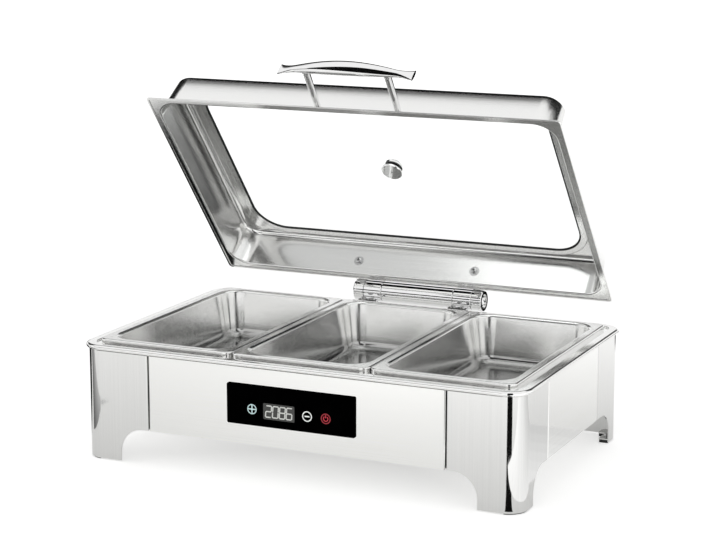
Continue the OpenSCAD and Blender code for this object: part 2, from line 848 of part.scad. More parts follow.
module control_housing() color(black_plastic) {
    box_w = cutout_w + 2 * housing_over;
    box_h = cutout_h + 2 * housing_over;
    post_x = cutout_w / 2 - board_post_in;
    post_z = (cutout_h - board_post_in) / 2;
    difference() {
        union() {
            on_front(cutout_x, cutout_z) difference() {
                translate([0, 0, -housing_back]) linear_extrude(housing_deep)
                    round_rect(box_w, box_h, housing_r);
                translate([0, 0, housing_t - housing_back]) linear_extrude(housing_deep)
                    round_rect(box_w - 2 * housing_t, box_h - 2 * housing_t, housing_r - housing_t);
            }
            for (s = [-1, 1]) on_front(cutout_x + s * (box_w + ear_w - tab) / 2, cutout_z)
                translate([0, 0, -sheet_t - ear_t]) linear_extrude(ear_t)
                    square([ear_w + tab, box_h], center = true);
            for (sx = [-1, 1], sz = [-1, 1]) on_front(cutout_x + sx * post_x, cutout_z + sz * post_z)
                translate([0, 0, housing_t / 2 - housing_back])
                    cylinder(h = board_back + housing_t / 2, r = board_post_r);
        }
        control_studs() translate([0, 0, -sheet_t - ear_t - past])
            cylinder(h = ear_t + 2 * past, r = panel_stud_r + fix_fit);
    }
}

module control_nuts() color(steel) {
    control_studs() translate([0, 0, -sheet_t - ear_t - control_nut_h])
        nut(control_nut_r, control_nut_h, panel_stud_r + fix_fit);
}

// The power board stands on the inside of the left wall
power_x = sheet_t + standoff_l - body_w / 2;

module power_board() color(board_green) {
    translate([power_x, -power_board_l / 2, power_z]) cube([board_t, power_board_l, power_board_h]);
}

module power_relay() color([0.10, 0.20, 0.45]) {
    translate([power_x + board_t, -relay_size[1] / 2, power_z + power_board_h / 2]) cube(relay_size);
}

module board_standoffs() color(steel) {
    for (s = [-1, 1], z = [standoff_in, power_board_h - standoff_in])
        translate([sheet_t - body_w / 2, s * (power_board_l / 2 - standoff_in), power_z + z])
            rotate([0, 90, 0]) cylinder(h = standoff_l, r = standoff_r);
}

// Outline of the inlet: a rectangle with its two lower corners cut off
module inlet_outline(w, h, cut) {
    polygon([[-w / 2, -h / 2], [w / 2, -h / 2], [w / 2, h / 2 - cut], [w / 2 - cut, h / 2],
        [cut - w / 2, h / 2], [-w / 2, h / 2 - cut]]);
}

module inlet_socket() color(black_plastic) on_back(inlet_x, skirt_z + inlet_z) {
    difference() {
        union() {
            linear_extrude(inlet_flange_t) round_rect(inlet_flange_w, inlet_flange_h, inlet_flange_r);
            translate([0, 0, -inlet_depth]) linear_extrude(inlet_depth + tab)
                inlet_outline(inlet_w, inlet_h, inlet_cut);
        }
        translate([0, 0, inlet_floor - inlet_depth]) linear_extrude(inlet_depth + inlet_flange_t + past)
            inlet_outline(inlet_w - 2 * inlet_wall, inlet_h - 2 * inlet_wall, inlet_cut - inlet_wall);
        for (p = pin_places) translate([p[0], p[1], -inlet_depth - past])
            linear_extrude(inlet_floor + 2 * past)
                square([pin_wide + fix_fit, pin_tall + fix_fit], center = true);
        for (s = [-1, 1]) translate([s * inlet_pitch / 2, 0, -past])
            cylinder(h = inlet_flange_t + 2 * past, r = inlet_screw_r + fix_fit);
    }
}

module inlet_pins() color([0.82, 0.80, 0.72]) on_back(inlet_x, skirt_z + inlet_z) {
    pin_l = inlet_depth + pin_tail + inlet_flange_t - pin_in;
    for (p = pin_places) translate([p[0], p[1], -inlet_depth - pin_tail])
        linear_extrude(pin_l) square([pin_wide, pin_tall], center = true);
}

module inlet_screws() color(steel) on_back(inlet_x, skirt_z + inlet_z) {
    for (s = [-1, 1]) translate([s * inlet_pitch / 2, 0, inlet_flange_t])
        screw(inlet_head_r, inlet_head_h, inlet_screw_r, inlet_flange_t + sheet_t + cover_screw_up);
}

// Places of the screws through the hinge brackets' feet
module base_screw_places() {
    for (sx = [-1, 1], i = [-1, 1])
        translate([sx * (knuckle_x + knuckle_l / 2) + i * base_screw_pitch / 2, base_screw_y, 0]) children();
}

// Round bar with bevelled ends
module barrel(l, r) {
    rotate_extrude() polygon([[0, 0], [r - barrel_bevel, 0], [r, barrel_bevel], [r, l - barrel_bevel],
        [r - barrel_bevel, l], [0, l]]);
}

module hinge_bracket() {
    difference() {
        union() {
            translate([knuckle_x, hinge_y, hinge_z]) rotate([0, 90, 0]) barrel(knuckle_l, barrel_r);
            translate([knuckle_x, bracket_y, rim_top]) cube([knuckle_l, hinge_y - bracket_y, bracket_foot_t]);
        }
        translate([knuckle_x - past, hinge_y, hinge_z]) rotate([0, 90, 0])
            cylinder(h = knuckle_l + 2 * past, r = bush_r + press_fit);
        base_screw_places() translate([0, 0, rim_top - past])
            cylinder(h = bracket_foot_t + 2 * past, r = base_screw_r + fix_fit);
    }
}

module hinge_bracket_left() color(bright_steel) mirror([1, 0, 0]) hinge_bracket();

module hinge_bracket_right() color(bright_steel) hinge_bracket();

module hinge_tube() color(bright_steel) {
    translate([-tube_l / 2, hinge_y, hinge_z]) rotate([0, 90, 0]) difference() {
        barrel(tube_l, barrel_r - seat_gap);
        translate([0, 0, -past]) cylinder(h = tube_l + 2 * past, r = shaft_r + bush_t / 2);
    }
}

module hinge_bushes() color([0.72, 0.58, 0.30]) {
    for (side = [0, 1]) mirror([side, 0, 0]) translate([knuckle_x, hinge_y, hinge_z]) rotate([0, 90, 0])
        difference() {
            cylinder(h = knuckle_l, r = bush_r);
            translate([0, 0, -past]) cylinder(h = knuckle_l + 2 * past, r = shaft_r + run_fit);
        }
}

module hinge_base_screws() color(steel) {
    base_screw_places() translate([0, 0, rim_top + bracket_foot_t])
        screw(base_head_r, base_head_h, base_screw_r, bracket_foot_t + base_screw_l);
}

module food_pan() {
    edge_h = pan_z - ledge_z;
    drawn_shell(pan_mouth_w, pan_mouth_d, pan_mouth_r, pan_depth, pan_lean, pan_lip_r, pan_floor_r, pan_t);
    flat_ring(-pan_t, pan_t, grown(pan_w, pan_d, pan_corner_r, -pan_edge_r - tab / 2),
        grown(pan_mouth_w, pan_mouth_d, pan_mouth_r, pan_lip_r + tab / 2));
    roll = [pan_edge_r, -pan_edge_r];
    swept_frame(pan_w, pan_d, pan_corner_r, concat(
        [[0, -edge_h]], arc(roll, pan_edge_r, 180, 90), [[pan_edge_r + tab, 0], [pan_edge_r + tab, -pan_t]],
        arc(roll, pan_edge_r - pan_t, 90, 180), [[pan_t, -edge_h]]));
}

module pan_left() color(bright_steel) translate([-pan_pitch, 0, pan_z]) food_pan();

module pan_centre() color(bright_steel) translate([0, 0, pan_z]) food_pan();

module pan_right() color(bright_steel) translate([pan_pitch, 0, pan_z]) food_pan();

// Turns closed-lid places open about the hinge
module opened() {
    translate([0, hinge_y, hinge_z]) rotate([-open_angle, 0, 0])
        translate([0, -hinge_y, -hinge_z]) children();
}

// The lid's own frame: the underside of the flange is at height 0
module on_lid() { opened() translate([0, lid_shift, lid_z]) children(); }

// Places on the outside of the lid's back or front wall, with their own Z out of the wall and Y downwards
module on_lid_back(x, h) {
    translate([x, lid_mouth_d / 2 - lid_wall_in(h), h]) rotate([lid_lean - 90, 0, 0]) children();
}
module on_lid_front(x, h) { mirror([0, 1, 0]) on_lid_back(x, h) children(); }

module lid_shell() color(steel) on_lid() {
    edge = [lid_w, lid_d, lid_corner_r];
    bend = grown(lid_mouth_w, lid_mouth_d, lid_mouth_r, lid_lip_r + tab / 2);
    recess = [recess_w, recess_d, recess_r];
    frame = grown(recess_w, recess_d, recess_r, lid_t);
    difference() {
        union() {
            mirror([0, 0, 1]) drawn_shell(lid_mouth_w, lid_mouth_d, lid_mouth_r, lid_depth, lid_lean,
                lid_lip_r, lid_top_r, lid_t) round_rect(recess_w, recess_d, recess_r);
            flat_ring(0, lid_t, edge, bend);
            flat_ring(-hem_t, hem_t + lid_t / 2, edge, grown(lid_w, lid_d, lid_corner_r, -hem_w));
            flat_ring(seat_z - lid_t, lid_depth + 2 * lid_t - seat_z, frame, recess);
            flat_ring(seat_z - lid_t, lid_t, frame, [window_w, window_d, window_r]);
        }
        for (s = [-1, 1]) {
            on_lid_back(s * arm_mid, arm_screw_h) translate([0, 0, -lid_t - past])
                cylinder(h = lid_t + 2 * past, r = lid_screw_r + fix_fit);
            on_lid_front(post_x(s), post_h) translate([0, 0, -lid_t - past])
                cylinder(h = lid_t + 2 * past, r = handle_screw_r + fix_fit);
        }
    }
}

module glass_window() color([0.85, 0.92, 0.92, 0.3]) on_lid() {
    translate([0, 0, glass_z]) linear_extrude(glass_t) difference() {
        round_rect(recess_w - 2 * gasket_side, recess_d - 2 * gasket_side, recess_r - gasket_side);
        circle(glass_hole_r);
    }
}

module glass_gasket() color(rubber) on_lid() {
    outer = grown(recess_w, recess_d, recess_r, -gasket_fit);
    beside_glass = grown(recess_w, recess_d, recess_r, gasket_fit - gasket_side);
    flat_ring(seat_z, gasket_t, outer, grown(window_w, window_d, window_r, -gasket_show));
    flat_ring(seat_z, gasket_t + glass_t, outer, beside_glass);
}

module vent_inner_cap() color(bright_steel) on_lid() {
    disc_top = glass_z - vent_seal_t;
    stem_top = glass_z + glass_t + vent_seal_t + vent_cap_h + vent_stem_up;
    bevel = vent_disc_t / 4;
    rotate_extrude() polygon([[vent_hole_r, disc_top - vent_disc_t], [vent_r - bevel, disc_top - vent_disc_t],
        [vent_r, disc_top - vent_disc_t + bevel], [vent_r, disc_top], [vent_stem_r, disc_top],
        [vent_stem_r, stem_top], [vent_hole_r, stem_top]]);
}

module vent_seals() color(rubber) on_lid() {
    for (z = [glass_z - vent_seal_t, glass_z + glass_t]) translate([0, 0, z]) rotate_extrude()
        translate([vent_stem_r + fix_fit, 0]) square([vent_cap_r - vent_stem_r - past, vent_seal_t]);
}

module vent_outer_cap() color(bright_steel) on_lid() {
    stem_up = vent_cap_h + vent_stem_up;
    bore = vent_stem_r + press_fit;
    crown_low = vent_crown_h / 2;
    translate([0, 0, glass_z + glass_t + vent_seal_t]) rotate_extrude() polygon(concat(
        [[bore, 0], [vent_cap_r, 0], [vent_cap_r, vent_cap_h], [vent_crown_r, vent_cap_h]],
        [for (a = [0:15:60]) [vent_crown_r * cos(a), vent_cap_h + crown_low + crown_low * sin(a)]],
        [[vent_hole_r, vent_cap_h + vent_crown_h], [vent_hole_r, stem_up], [bore, stem_up]]));
}

// Thickness and width of the handle bar at a place from -1 to 1 along it
function bar_bulge(s) = pow(max(0, 1 - pow(s / 0.98, 2)), 1.3);
function bar_thick(s) = handle_tip + (handle_mid - handle_tip) * bar_bulge(s);
function bar_wide(s) = waist_w + (handle_mid + 1 - waist_w) * bar_bulge(s)
    + (tip_w - waist_w) * pow(max(abs(s) - tip_start, 0) / (1 - tip_start), 1.5);

// The bar is lofted through oval sections that share a straight underside
module loft_bar() {
    points = [for (i = [0:bar_steps], j = [0:bar_sides - 1])
        let (s = 2 * i / bar_steps - 1, a = 360 * j / bar_sides)
        [handle_l / 2 * s, bar_wide(s) / 2 * cos(a), bar_thick(s) / 2 * (1 + sin(a))]];
    sides = [for (i = [0:bar_steps - 1], j = [0:bar_sides - 1])
        let (a = i * bar_sides + j, b = i * bar_sides + (j + 1) % bar_sides)
        each [[b, a, a + bar_sides], [b, a + bar_sides, b + bar_sides]]];
    last = bar_steps * bar_sides;
    ends = [[for (j = [0:bar_sides - 1]) j], [for (j = [bar_sides - 1:-1:0]) last + j]];
    polyhedron(points, concat(sides, ends));
}

// Place of a post along the lid, and its radius where the bar's neck begins
function post_x(s) = handle_x + s * post_span / 2;
neck_r = (post_d + (post_top_d - post_d) * (post_reach - neck_l) / post_reach) / 2;

module handle_bar() color(bright_steel) on_lid() on_lid_front(handle_x, post_h) translate([0, 0, post_reach]) {
    loft_bar();
    for (s = [-1, 1]) translate([s * post_span / 2, 0, -neck_l])
        cylinder(h = neck_l + bar_thick(post_span / handle_l) / 2, r1 = neck_r, r2 = post_top_d / 2);
}

module handle_post(s) {
    on_lid() on_lid_front(post_x(s), post_h) difference() {
        cylinder(h = post_reach - neck_l, r1 = post_d / 2, r2 = neck_r);
        translate([0, 0, -past]) cylinder(h = handle_screw_in + past, r = handle_screw_r + fix_fit);
    }
}

module handle_post_left() color(bright_steel) handle_post(-1);

module handle_post_right() color(bright_steel) handle_post(1);

module handle_screws() color(steel) on_lid() {
    for (s = [-1, 1]) on_lid_front(post_x(s), post_h) translate([0, 0, -lid_t]) rotate([180, 0, 0])
        screw(handle_head_r, handle_head_h, handle_screw_r, lid_t + handle_screw_in - past);
}

module hinge_shaft() color(steel) opened() {
    length = arm_x + arm_w;
    translate([-length, hinge_y, hinge_z]) rotate([0, 90, 0]) cylinder(h = 2 * length, r = shaft_r);
}

// Place of the arm's screw on the lid's back wall, and a point from there: out of the wall, then up along it
arm_screw = [lid_shift + lid_mouth_d / 2 - lid_wall_in(arm_screw_h), lid_z + arm_screw_h];
function on_arm(out, up) = arm_screw + out * [cos(lid_lean), sin(lid_lean)] + up * [-sin(lid_lean), cos(lid_lean)];

// Ring on the shaft, a strut over the lid flange and a plate on the back of the lid, as one outline
module arm_outline() {
    difference() {
        union() {
            translate([hinge_y, hinge_z]) circle(arm_r);
            polygon([on_arm(0, -arm_pad_down), on_arm(arm_t, -arm_pad_down),
                on_arm(arm_t, arm_pad_up), on_arm(0, arm_pad_up)]);
            polygon([on_arm(arm_t / 2, arm_t / 2 - arm_pad_down), [hinge_y, hinge_z + (shaft_r + arm_r) / 2],
                [hinge_y, hinge_z + arm_r - seat_gap], on_arm(arm_t / 2, -lid_washer_r)]);
        }
        translate([hinge_y, hinge_z]) circle(shaft_r + press_fit);
    }
}

module hinge_arm() {
    difference() {
        translate([arm_x, 0, 0]) rotate([90, 0, 90]) linear_extrude(arm_w) arm_outline();
        translate([0, lid_shift, lid_z]) on_lid_back(arm_mid, arm_screw_h)
            translate([0, 0, -past]) cylinder(h = arm_t + 2 * past, r = lid_screw_r + fix_fit);
    }
}

module hinge_arm_left() color(bright_steel) opened() mirror([1, 0, 0]) hinge_arm();

module hinge_arm_right() color(bright_steel) opened() hinge_arm();

// End cap with a raised ring and a domed middle
module hinge_cap() {
    bevel = cap_l / 4;
    ring_r = barrel_r * 0.66;
    dome_r = barrel_r * 0.38;
    floor_h = cap_l / 2;
    translate([arm_x + arm_w, hinge_y, hinge_z]) rotate([0, 90, 0]) rotate_extrude() polygon(concat(
        [[0, 0], [barrel_r - barrel_bevel, 0], [barrel_r, barrel_bevel]],
        [[barrel_r, cap_l - bevel], [barrel_r - bevel, cap_l]],
        [[ring_r, cap_l], [ring_r, floor_h], [dome_r, floor_h]],
        [for (a = [15:15:75]) [dome_r * cos(a), floor_h + floor_h * sin(a)]], [[0, cap_l]]));
}

module hinge_cap_left() color(bright_steel) opened() mirror([1, 0, 0]) hinge_cap();

module hinge_cap_right() color(bright_steel) opened() hinge_cap();

module lid_hinge_screws() color(bright_steel) on_lid() {
    for (s = [-1, 1]) on_lid_back(s * arm_mid, arm_screw_h) translate([0, 0, -lid_t]) rotate([180, 0, 0]) {
        screw(lid_washer_r, lid_washer_t, lid_screw_r, lid_t + arm_t);
        cylinder(h = lid_washer_t + lid_head_h, r = lid_head_r);
    }
}

front_panel();
back_panel();
left_panel();
right_panel();
corner_leg_front_left();
corner_leg_front_right();
corner_leg_back_left();
corner_leg_back_right();
foot_pad_front_left();
foot_pad_front_right();
foot_pad_back_left();
foot_pad_back_right();
foot_screws();
top_rim();
water_pan();
heat_spreader();
heating_element();
heat_reflector();
heater_nuts();
temperature_sensor();
thermal_cutout();
bottom_cover();
bottom_screws();
control_glass();
display_module();
touch_springs();
control_board();
control_housing();
control_nuts();
power_board();
power_relay();
board_standoffs();
inlet_socket();
inlet_pins();
inlet_screws();
hinge_bracket_left();
hinge_bracket_right();
hinge_tube();
hinge_bushes();
hinge_base_screws();
pan_left();
pan_centre();
pan_right();
lid_shell();
glass_window();
glass_gasket();
handle_bar();
handle_post_left();
handle_post_right();
handle_screws();
vent_inner_cap();
vent_outer_cap();
vent_seals();
hinge_shaft();
hinge_arm_left();
hinge_arm_right();
hinge_cap_left();
hinge_cap_right();
lid_hinge_screws();
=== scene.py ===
"""Electric chafing dish: finishes, fine shapes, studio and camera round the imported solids.

Everything is in metres in the solids' frame: the origin is on the table under the body, -Y is the front, +Z is up.
Lengths named in capitals are in millimetres and repeat the solids' sizes. The studio's are in metres, and angles are
in degrees.
"""
import math

import bmesh
import bpy
from mathutils import Matrix, Vector


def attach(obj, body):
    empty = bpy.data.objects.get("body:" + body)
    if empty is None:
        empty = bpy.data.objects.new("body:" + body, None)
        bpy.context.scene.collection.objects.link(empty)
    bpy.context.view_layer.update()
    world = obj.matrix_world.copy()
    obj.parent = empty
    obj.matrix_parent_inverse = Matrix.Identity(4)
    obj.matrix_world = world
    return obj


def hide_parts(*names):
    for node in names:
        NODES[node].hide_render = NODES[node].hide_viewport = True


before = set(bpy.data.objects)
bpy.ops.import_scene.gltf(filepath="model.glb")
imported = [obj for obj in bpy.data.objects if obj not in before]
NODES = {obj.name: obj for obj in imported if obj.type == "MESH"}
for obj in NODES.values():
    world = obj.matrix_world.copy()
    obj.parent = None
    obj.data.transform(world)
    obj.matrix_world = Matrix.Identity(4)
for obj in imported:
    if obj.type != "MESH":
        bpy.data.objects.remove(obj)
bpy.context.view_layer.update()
MM = 0.001

PAN_W, PAN_D, PAN_PITCH, PAN_GAP = 176.0, 325.0, 176.7, 0.7
PAN_TOP, PAN_FLANGE = 145.2, 12
BODY_W, BODY_D = 558.2, 353.8
RIM_TOP = 141.0
LID_W, LID_D = 534.2, 329.8
LID_SHIFT, LID_Z, LID_OPEN = 6.2, 146.5, 49.5
LID_FLANGE, LID_LEAN, LID_LIP_R, LID_T = 10, 5, 2.5, 1
HINGE_Y, HINGE_Z = 199.8, 150.0
HANDLE_X, HANDLE_H, HANDLE_HALF = 10.5, 12, 85.5
POST_X, POST_L = 52, 52
ARM_MID, ARM_SCREW_H = 80.6, 20
FRONT_Y = -BODY_D / 2
SHARP_EDGE = 32


# Meshes

def ring(half_w, half_d, r, z, steps=10):
    """Points of a rectangle with round corners at height z, counter-clockwise."""
    points = []
    for k, (sx, sy) in enumerate(((1, 1), (-1, 1), (-1, -1), (1, -1))):
        for i in range(steps + 1):
            a = math.radians(90 * (k + i / steps))
            points.append((sx * (half_w - r) + r * math.cos(a), sy * (half_d - r) + r * math.sin(a), z))
    return points


def inward(w, d, r, u, z):
    """A ring that lies u inside the rectangle w by d with corner radius r."""
    return ring(w / 2 - u, d / 2 - u, max(r - u, 0.3), z)


def bend(cu, cz, r, start, stop, steps=8):
    """Distances and heights along an arc of an outline."""
    turn = [math.radians(start + (stop - start) * i / steps) for i in range(steps + 1)]
    return [(cu + r * math.cos(a), cz + r * math.sin(a)) for a in turn]


def soften(mesh):
    """Smooth shading that keeps sharp edges."""
    bm = bmesh.new()
    bm.from_mesh(mesh)
    bmesh.ops.recalc_face_normals(bm, faces=bm.faces)
    for face in bm.faces:
        face.smooth = True
    for edge in bm.edges:
        edge.smooth = len(edge.link_faces) == 2 and edge.calc_face_angle(0) < math.radians(SHARP_EDGE)
    bm.to_mesh(mesh)
    bm.free()


def piece(name, points, faces, body, material, place=None):
    """A new mesh object in millimetres, put in place, that rides on a body."""
    mesh = bpy.data.meshes.new(name)
    mesh.from_pydata([Vector(p) for p in points], [], faces)
    mesh.transform(place or Matrix.Identity(4))
    mesh.transform(Matrix.Scale(MM, 4))
    soften(mesh)
    obj = bpy.data.objects.new(name, mesh)
    bpy.context.scene.collection.objects.link(obj)
    mesh.materials.append(material)
    flat = obj.modifiers.new("flat faces stay flat", "WEIGHTED_NORMAL")
    flat.keep_sharp = True
    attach(obj, body)
    return obj


def skin(rings, closed=False, cap_first=False, cap_last=False):
    """Points and faces of a surface through rings of equal length."""
    n = len(rings[0])
    points = [p for r in rings for p in r]
    faces = []
    pairs = [(i, i + 1) for i in range(len(rings) - 1)]
    if closed:
        pairs.append((len(rings) - 1, 0))
    for a, b in pairs:
        for j in range(n):
            k = (j + 1) % n
            faces.append((a * n + j, a * n + k, b * n + k, b * n + j))
    if cap_first:
        faces.append(tuple(reversed(range(n))))
    if cap_last:
        faces.append(tuple((len(rings) - 1) * n + j for j in range(n)))
    return points, faces


def lathe(outline, steps=40):
    """A turned shape about Z from points of radius and height, with its ends closed."""
    rings = [[(r * math.cos(2 * math.pi * j / steps), r * math.sin(2 * math.pi * j / steps), z)
              for j in range(steps)] for r, z in outline]
    return skin(rings, cap_first=True, cap_last=True)


def joined(*parts):
    """Several point and face lists as one."""
    points, faces = [], []
    for more_points, more_faces in parts:
        base = len(points)
        points += list(more_points)
        faces += [tuple(base + i for i in f) for f in more_faces]
    return points, faces


def moved(part, place):
    """A point and face list put in place."""
    return [place @ Vector(p) for p in part[0]], part[1]


# Materials

def node_material(name):
    made = bpy.data.materials.new(name)
    made.use_nodes = True
    tree = made.node_tree
    return made, tree, tree.nodes["Principled BSDF"]


def add(tree, kind, **values):
    node = tree.nodes.new(kind)
    for key, value in values.items():
        if hasattr(node, key):
            setattr(node, key, value)
        else:
            node.inputs[key].default_value = value
    return node


def noise(tree, scale, detail=4.0, stretch=(1, 1, 1)):
    """A noise value over the part's own coordinates, stretched along its axes."""
    coord = add(tree, "ShaderNodeTexCoord")
    mapping = add(tree, "ShaderNodeMapping")
    mapping.inputs["Scale"].default_value = stretch
    tree.links.new(coord.outputs["Object"], mapping.inputs["Vector"])
    tex = add(tree, "ShaderNodeTexNoise", Scale=scale, Detail=detail, Roughness=0.6)
    tree.links.new(mapping.outputs["Vector"], tex.inputs["Vector"])
    return tex.outputs["Fac"]


def spread(tree, value, low, high):
    """The value carried from about 0.3 to 0.7 onto a new range."""
    node = add(tree, "ShaderNodeMapRange", **{"From Min": 0.3, "From Max": 0.7, "To Min": low, "To Max": high})
    tree.links.new(value, node.inputs["Value"])
    return node.outputs["Result"]


def tint(tree, value, dark, light):
    node = add(tree, "ShaderNodeValToRGB")
    ramp = node.color_ramp.elements
    ramp[0].position, ramp[1].position = 0.3, 0.7
    ramp[0].color, ramp[1].color = (*dark, 1), (*light, 1)
    tree.links.new(value, node.inputs["Fac"])
    return node.outputs["Color"]


def relief(tree, shader, value, strength, distance):
    node = add(tree, "ShaderNodeBump", Strength=strength, Distance=distance)
    tree.links.new(value, node.inputs["Height"])
    tree.links.new(node.outputs["Normal"], shader.inputs["Normal"])


def metal(name, colour, rough, grain=(2, 260, 260), vary=0.03, shade=0.95, strength=0.05):
    """Metal with a fine grain that runs along the axis with the small number."""
    made, tree, shader = node_material(name)
    shader.inputs["Metallic"].default_value = 1.0
    fine = noise(tree, 3.0, 6.0, grain)
    dark = [c * shade for c in colour]
    tree.links.new(tint(tree, fine, dark, colour), shader.inputs["Base Color"])
    tree.links.new(spread(tree, fine, max(rough - vary, 0.01), rough + vary), shader.inputs["Roughness"])
    relief(tree, shader, fine, strength, 0.0002)
    return made


def solid(name, dark, light, rough, scale=500.0, strength=0.1, vary=0.06):
    """Rubber, plastic or a board: fine mottled colour with a grained surface."""
    made, tree, shader = node_material(name)
    fine = noise(tree, scale, 5.0)
    tree.links.new(tint(tree, fine, dark, light), shader.inputs["Base Color"])
    tree.links.new(spread(tree, fine, rough - vary, rough + vary), shader.inputs["Roughness"])
    relief(tree, shader, fine, strength, 0.0002)
    return made


def drawn_steel_with_painted_shade():
    """Pan steel: bright, with painted shade that darkens its colour to a deep grey on the floor and just above it."""
    # Heights in metres: full painted shade below the first, none above the second.
    full_shade_below, no_shade_above = 0.086, 0.104
    painted_shade_colour, bright = (0.28, 0.28, 0.275), (0.88, 0.88, 0.87)
    made, tree, shader = node_material("drawn pan steel with painted shade low down")
    shader.inputs["Metallic"].default_value = 1.0
    fine = noise(tree, 3.0, 6.0, (60, 60, 60))
    split = add(tree, "ShaderNodeSeparateXYZ")
    tree.links.new(add(tree, "ShaderNodeTexCoord").outputs["Object"], split.inputs[0])
    height = add(tree, "ShaderNodeMapRange",
                 **{"From Min": full_shade_below, "From Max": no_shade_above, "To Min": 0.3, "To Max": 0.7})
    tree.links.new(split.outputs["Z"], height.inputs["Value"])
    tree.links.new(tint(tree, height.outputs["Result"], painted_shade_colour, bright), shader.inputs["Base Color"])
    tree.links.new(spread(tree, fine, 0.12, 0.2), shader.inputs["Roughness"])
    relief(tree, shader, fine, 0.04, 0.0002)
    return made


WALL_X = metal("polished wall along X", (0.84, 0.84, 0.825), 0.08)
WALL_Y = metal("polished wall along Y", (0.84, 0.84, 0.825), 0.08, (260, 2, 260))
LEG = metal("polished leg", (0.74, 0.74, 0.73), 0.07, (200, 200, 2))
RIM = metal("polished rim", (0.90, 0.90, 0.89), 0.10, (40, 40, 40), 0.03, 0.97, 0.02)
PAN = drawn_steel_with_painted_shade()
LID = metal("brushed lid steel", (0.90, 0.90, 0.89), 0.19, (3, 300, 300), 0.04, 0.97, 0.015)
BATH = metal("satin bath steel", (0.70, 0.70, 0.69), 0.30, (80, 80, 80), 0.06, 0.92, 0.05)
CHROME = metal("mirror chrome", (0.88, 0.88, 0.88), 0.05, (90, 90, 90), 0.02, 0.97, 0.01)
SCREW = metal("turned steel", (0.66, 0.66, 0.66), 0.22, (200, 200, 200), 0.05, 0.9, 0.05)
ALUMINIUM = metal("cast aluminium", (0.75, 0.76, 0.77), 0.38, (150, 150, 150), 0.06, 0.9, 0.2)
SHEATH = metal("oxidised heater sheath", (0.28, 0.26, 0.25), 0.42, (120, 120, 120), 0.08, 0.7, 0.15)
BRASS = metal("turned brass", (0.78, 0.64, 0.34), 0.24, (200, 200, 200), 0.05, 0.9, 0.05)
RUBBER = solid("black rubber", (0.012, 0.012, 0.012), (0.03, 0.03, 0.03), 0.65, 900.0, 0.25)
# Black moulded plastic, also used as painted shade for the crosses in the lid screws' heads.
BLACK = solid("black moulded plastic, also painted shade in screw recesses", (0.015, 0.015, 0.016), (0.035, 0.035, 0.036), 0.45, 1200.0, 0.15)
BROWN = solid("brown phenolic plastic", (0.06, 0.035, 0.02), (0.11, 0.07, 0.045), 0.4, 800.0, 0.1)
BOARD = solid("green circuit board", (0.02, 0.12, 0.05), (0.05, 0.20, 0.09), 0.35, 300.0, 0.05)
BLUE = solid("blue relay plastic", (0.03, 0.07, 0.22), (0.05, 0.11, 0.30), 0.35, 900.0, 0.08)


def window_glass():
    made, tree, shader = node_material("window glass")
    shader.inputs["Base Color"].default_value = (0.975, 0.985, 0.98, 1)
    shader.inputs["Transmission Weight"].default_value = 1.0
    shader.inputs["IOR"].default_value = 1.22
    tree.links.new(spread(tree, noise(tree, 18.0), 0.0, 0.02), shader.inputs["Roughness"])
    return made


def panel_glass():
    made, tree, shader = node_material("black panel glass")
    fine = noise(tree, 60.0)
    shades = tint(tree, fine, (0.0004, 0.0004, 0.0004), (0.001, 0.001, 0.001))
    tree.links.new(shades, shader.inputs["Base Color"])
    tree.links.new(spread(tree, fine, 0.12, 0.2), shader.inputs["Roughness"])
    shader.inputs["Specular IOR Level"].default_value = 0.0
    return made


def glow(name, colour, strength):
    """A lit sign behind the panel's glass, a little uneven as behind a diffuser."""
    made, tree, shader = node_material(name)
    fine = noise(tree, 700.0, 2.0)
    dark = [c * 0.75 for c in colour]
    lit = tint(tree, fine, dark, colour)
    shader.inputs["Roughness"].default_value = 0.3
    tree.links.new(lit, shader.inputs["Base Color"])
    tree.links.new(lit, shader.inputs["Emission Color"])
    shader.inputs["Emission Strength"].default_value = strength
    return made


GLASS = window_glass()
PANEL = panel_glass()
WHITE_SIGN = glow("white sign", (0.80, 0.82, 0.80), 0.55)
BLUE_SIGN = glow("pale blue sign", (0.55, 0.72, 0.72), 0.55)
RED_SIGN = glow("red sign", (0.55, 0.03, 0.05), 0.6)
DIM_RED_SIGN = glow("dim red sign", (0.30, 0.01, 0.02), 0.4)
DIGIT = glow("lit digit", (0.60, 0.61, 0.58), 0.5)
DISPLAY = glow("display window", (0.045, 0.045, 0.042), 0.3)

FINISHES = {
    WALL_X: ["front_panel", "back_panel"],
    LEG: ["corner_leg_front_left", "corner_leg_front_right", "corner_leg_back_left", "corner_leg_back_right"],
    WALL_Y: ["left_panel", "right_panel"],
    RIM: ["top_rim"],
    PAN: ["pan_left", "pan_centre", "pan_right"],
    LID: ["lid_shell"],
    BATH: ["water_pan", "heat_reflector", "bottom_cover"],
    CHROME: ["hinge_bracket_left", "hinge_bracket_right", "hinge_tube", "handle_bar", "handle_post_left",
             "handle_post_right", "vent_inner_cap", "vent_outer_cap", "hinge_arm_left", "hinge_arm_right",
             "hinge_cap_left", "hinge_cap_right", "lid_hinge_screws"],
    SCREW: ["foot_screws", "heater_nuts", "bottom_screws", "control_nuts", "board_standoffs", "inlet_screws",
            "hinge_base_screws", "handle_screws", "hinge_shaft"],
    ALUMINIUM: ["heat_spreader"],
    SHEATH: ["heating_element"],
    BRASS: ["temperature_sensor", "touch_springs", "inlet_pins", "hinge_bushes"],
    RUBBER: ["foot_pad_front_left", "foot_pad_front_right", "foot_pad_back_left", "foot_pad_back_right",
             "glass_gasket", "vent_seals"],
    BLACK: ["display_module", "control_housing", "inlet_socket"],
    BROWN: ["thermal_cutout"],
    BOARD: ["control_board", "power_board"],
    BLUE: ["power_relay"],
    GLASS: ["glass_window"],
    PANEL: ["control_glass"],
}
for material, names in FINISHES.items():
    for name in names:
        slots = NODES[name].data.materials
        slots.clear()
        slots.append(material)


# Pans, drawn with full round bends

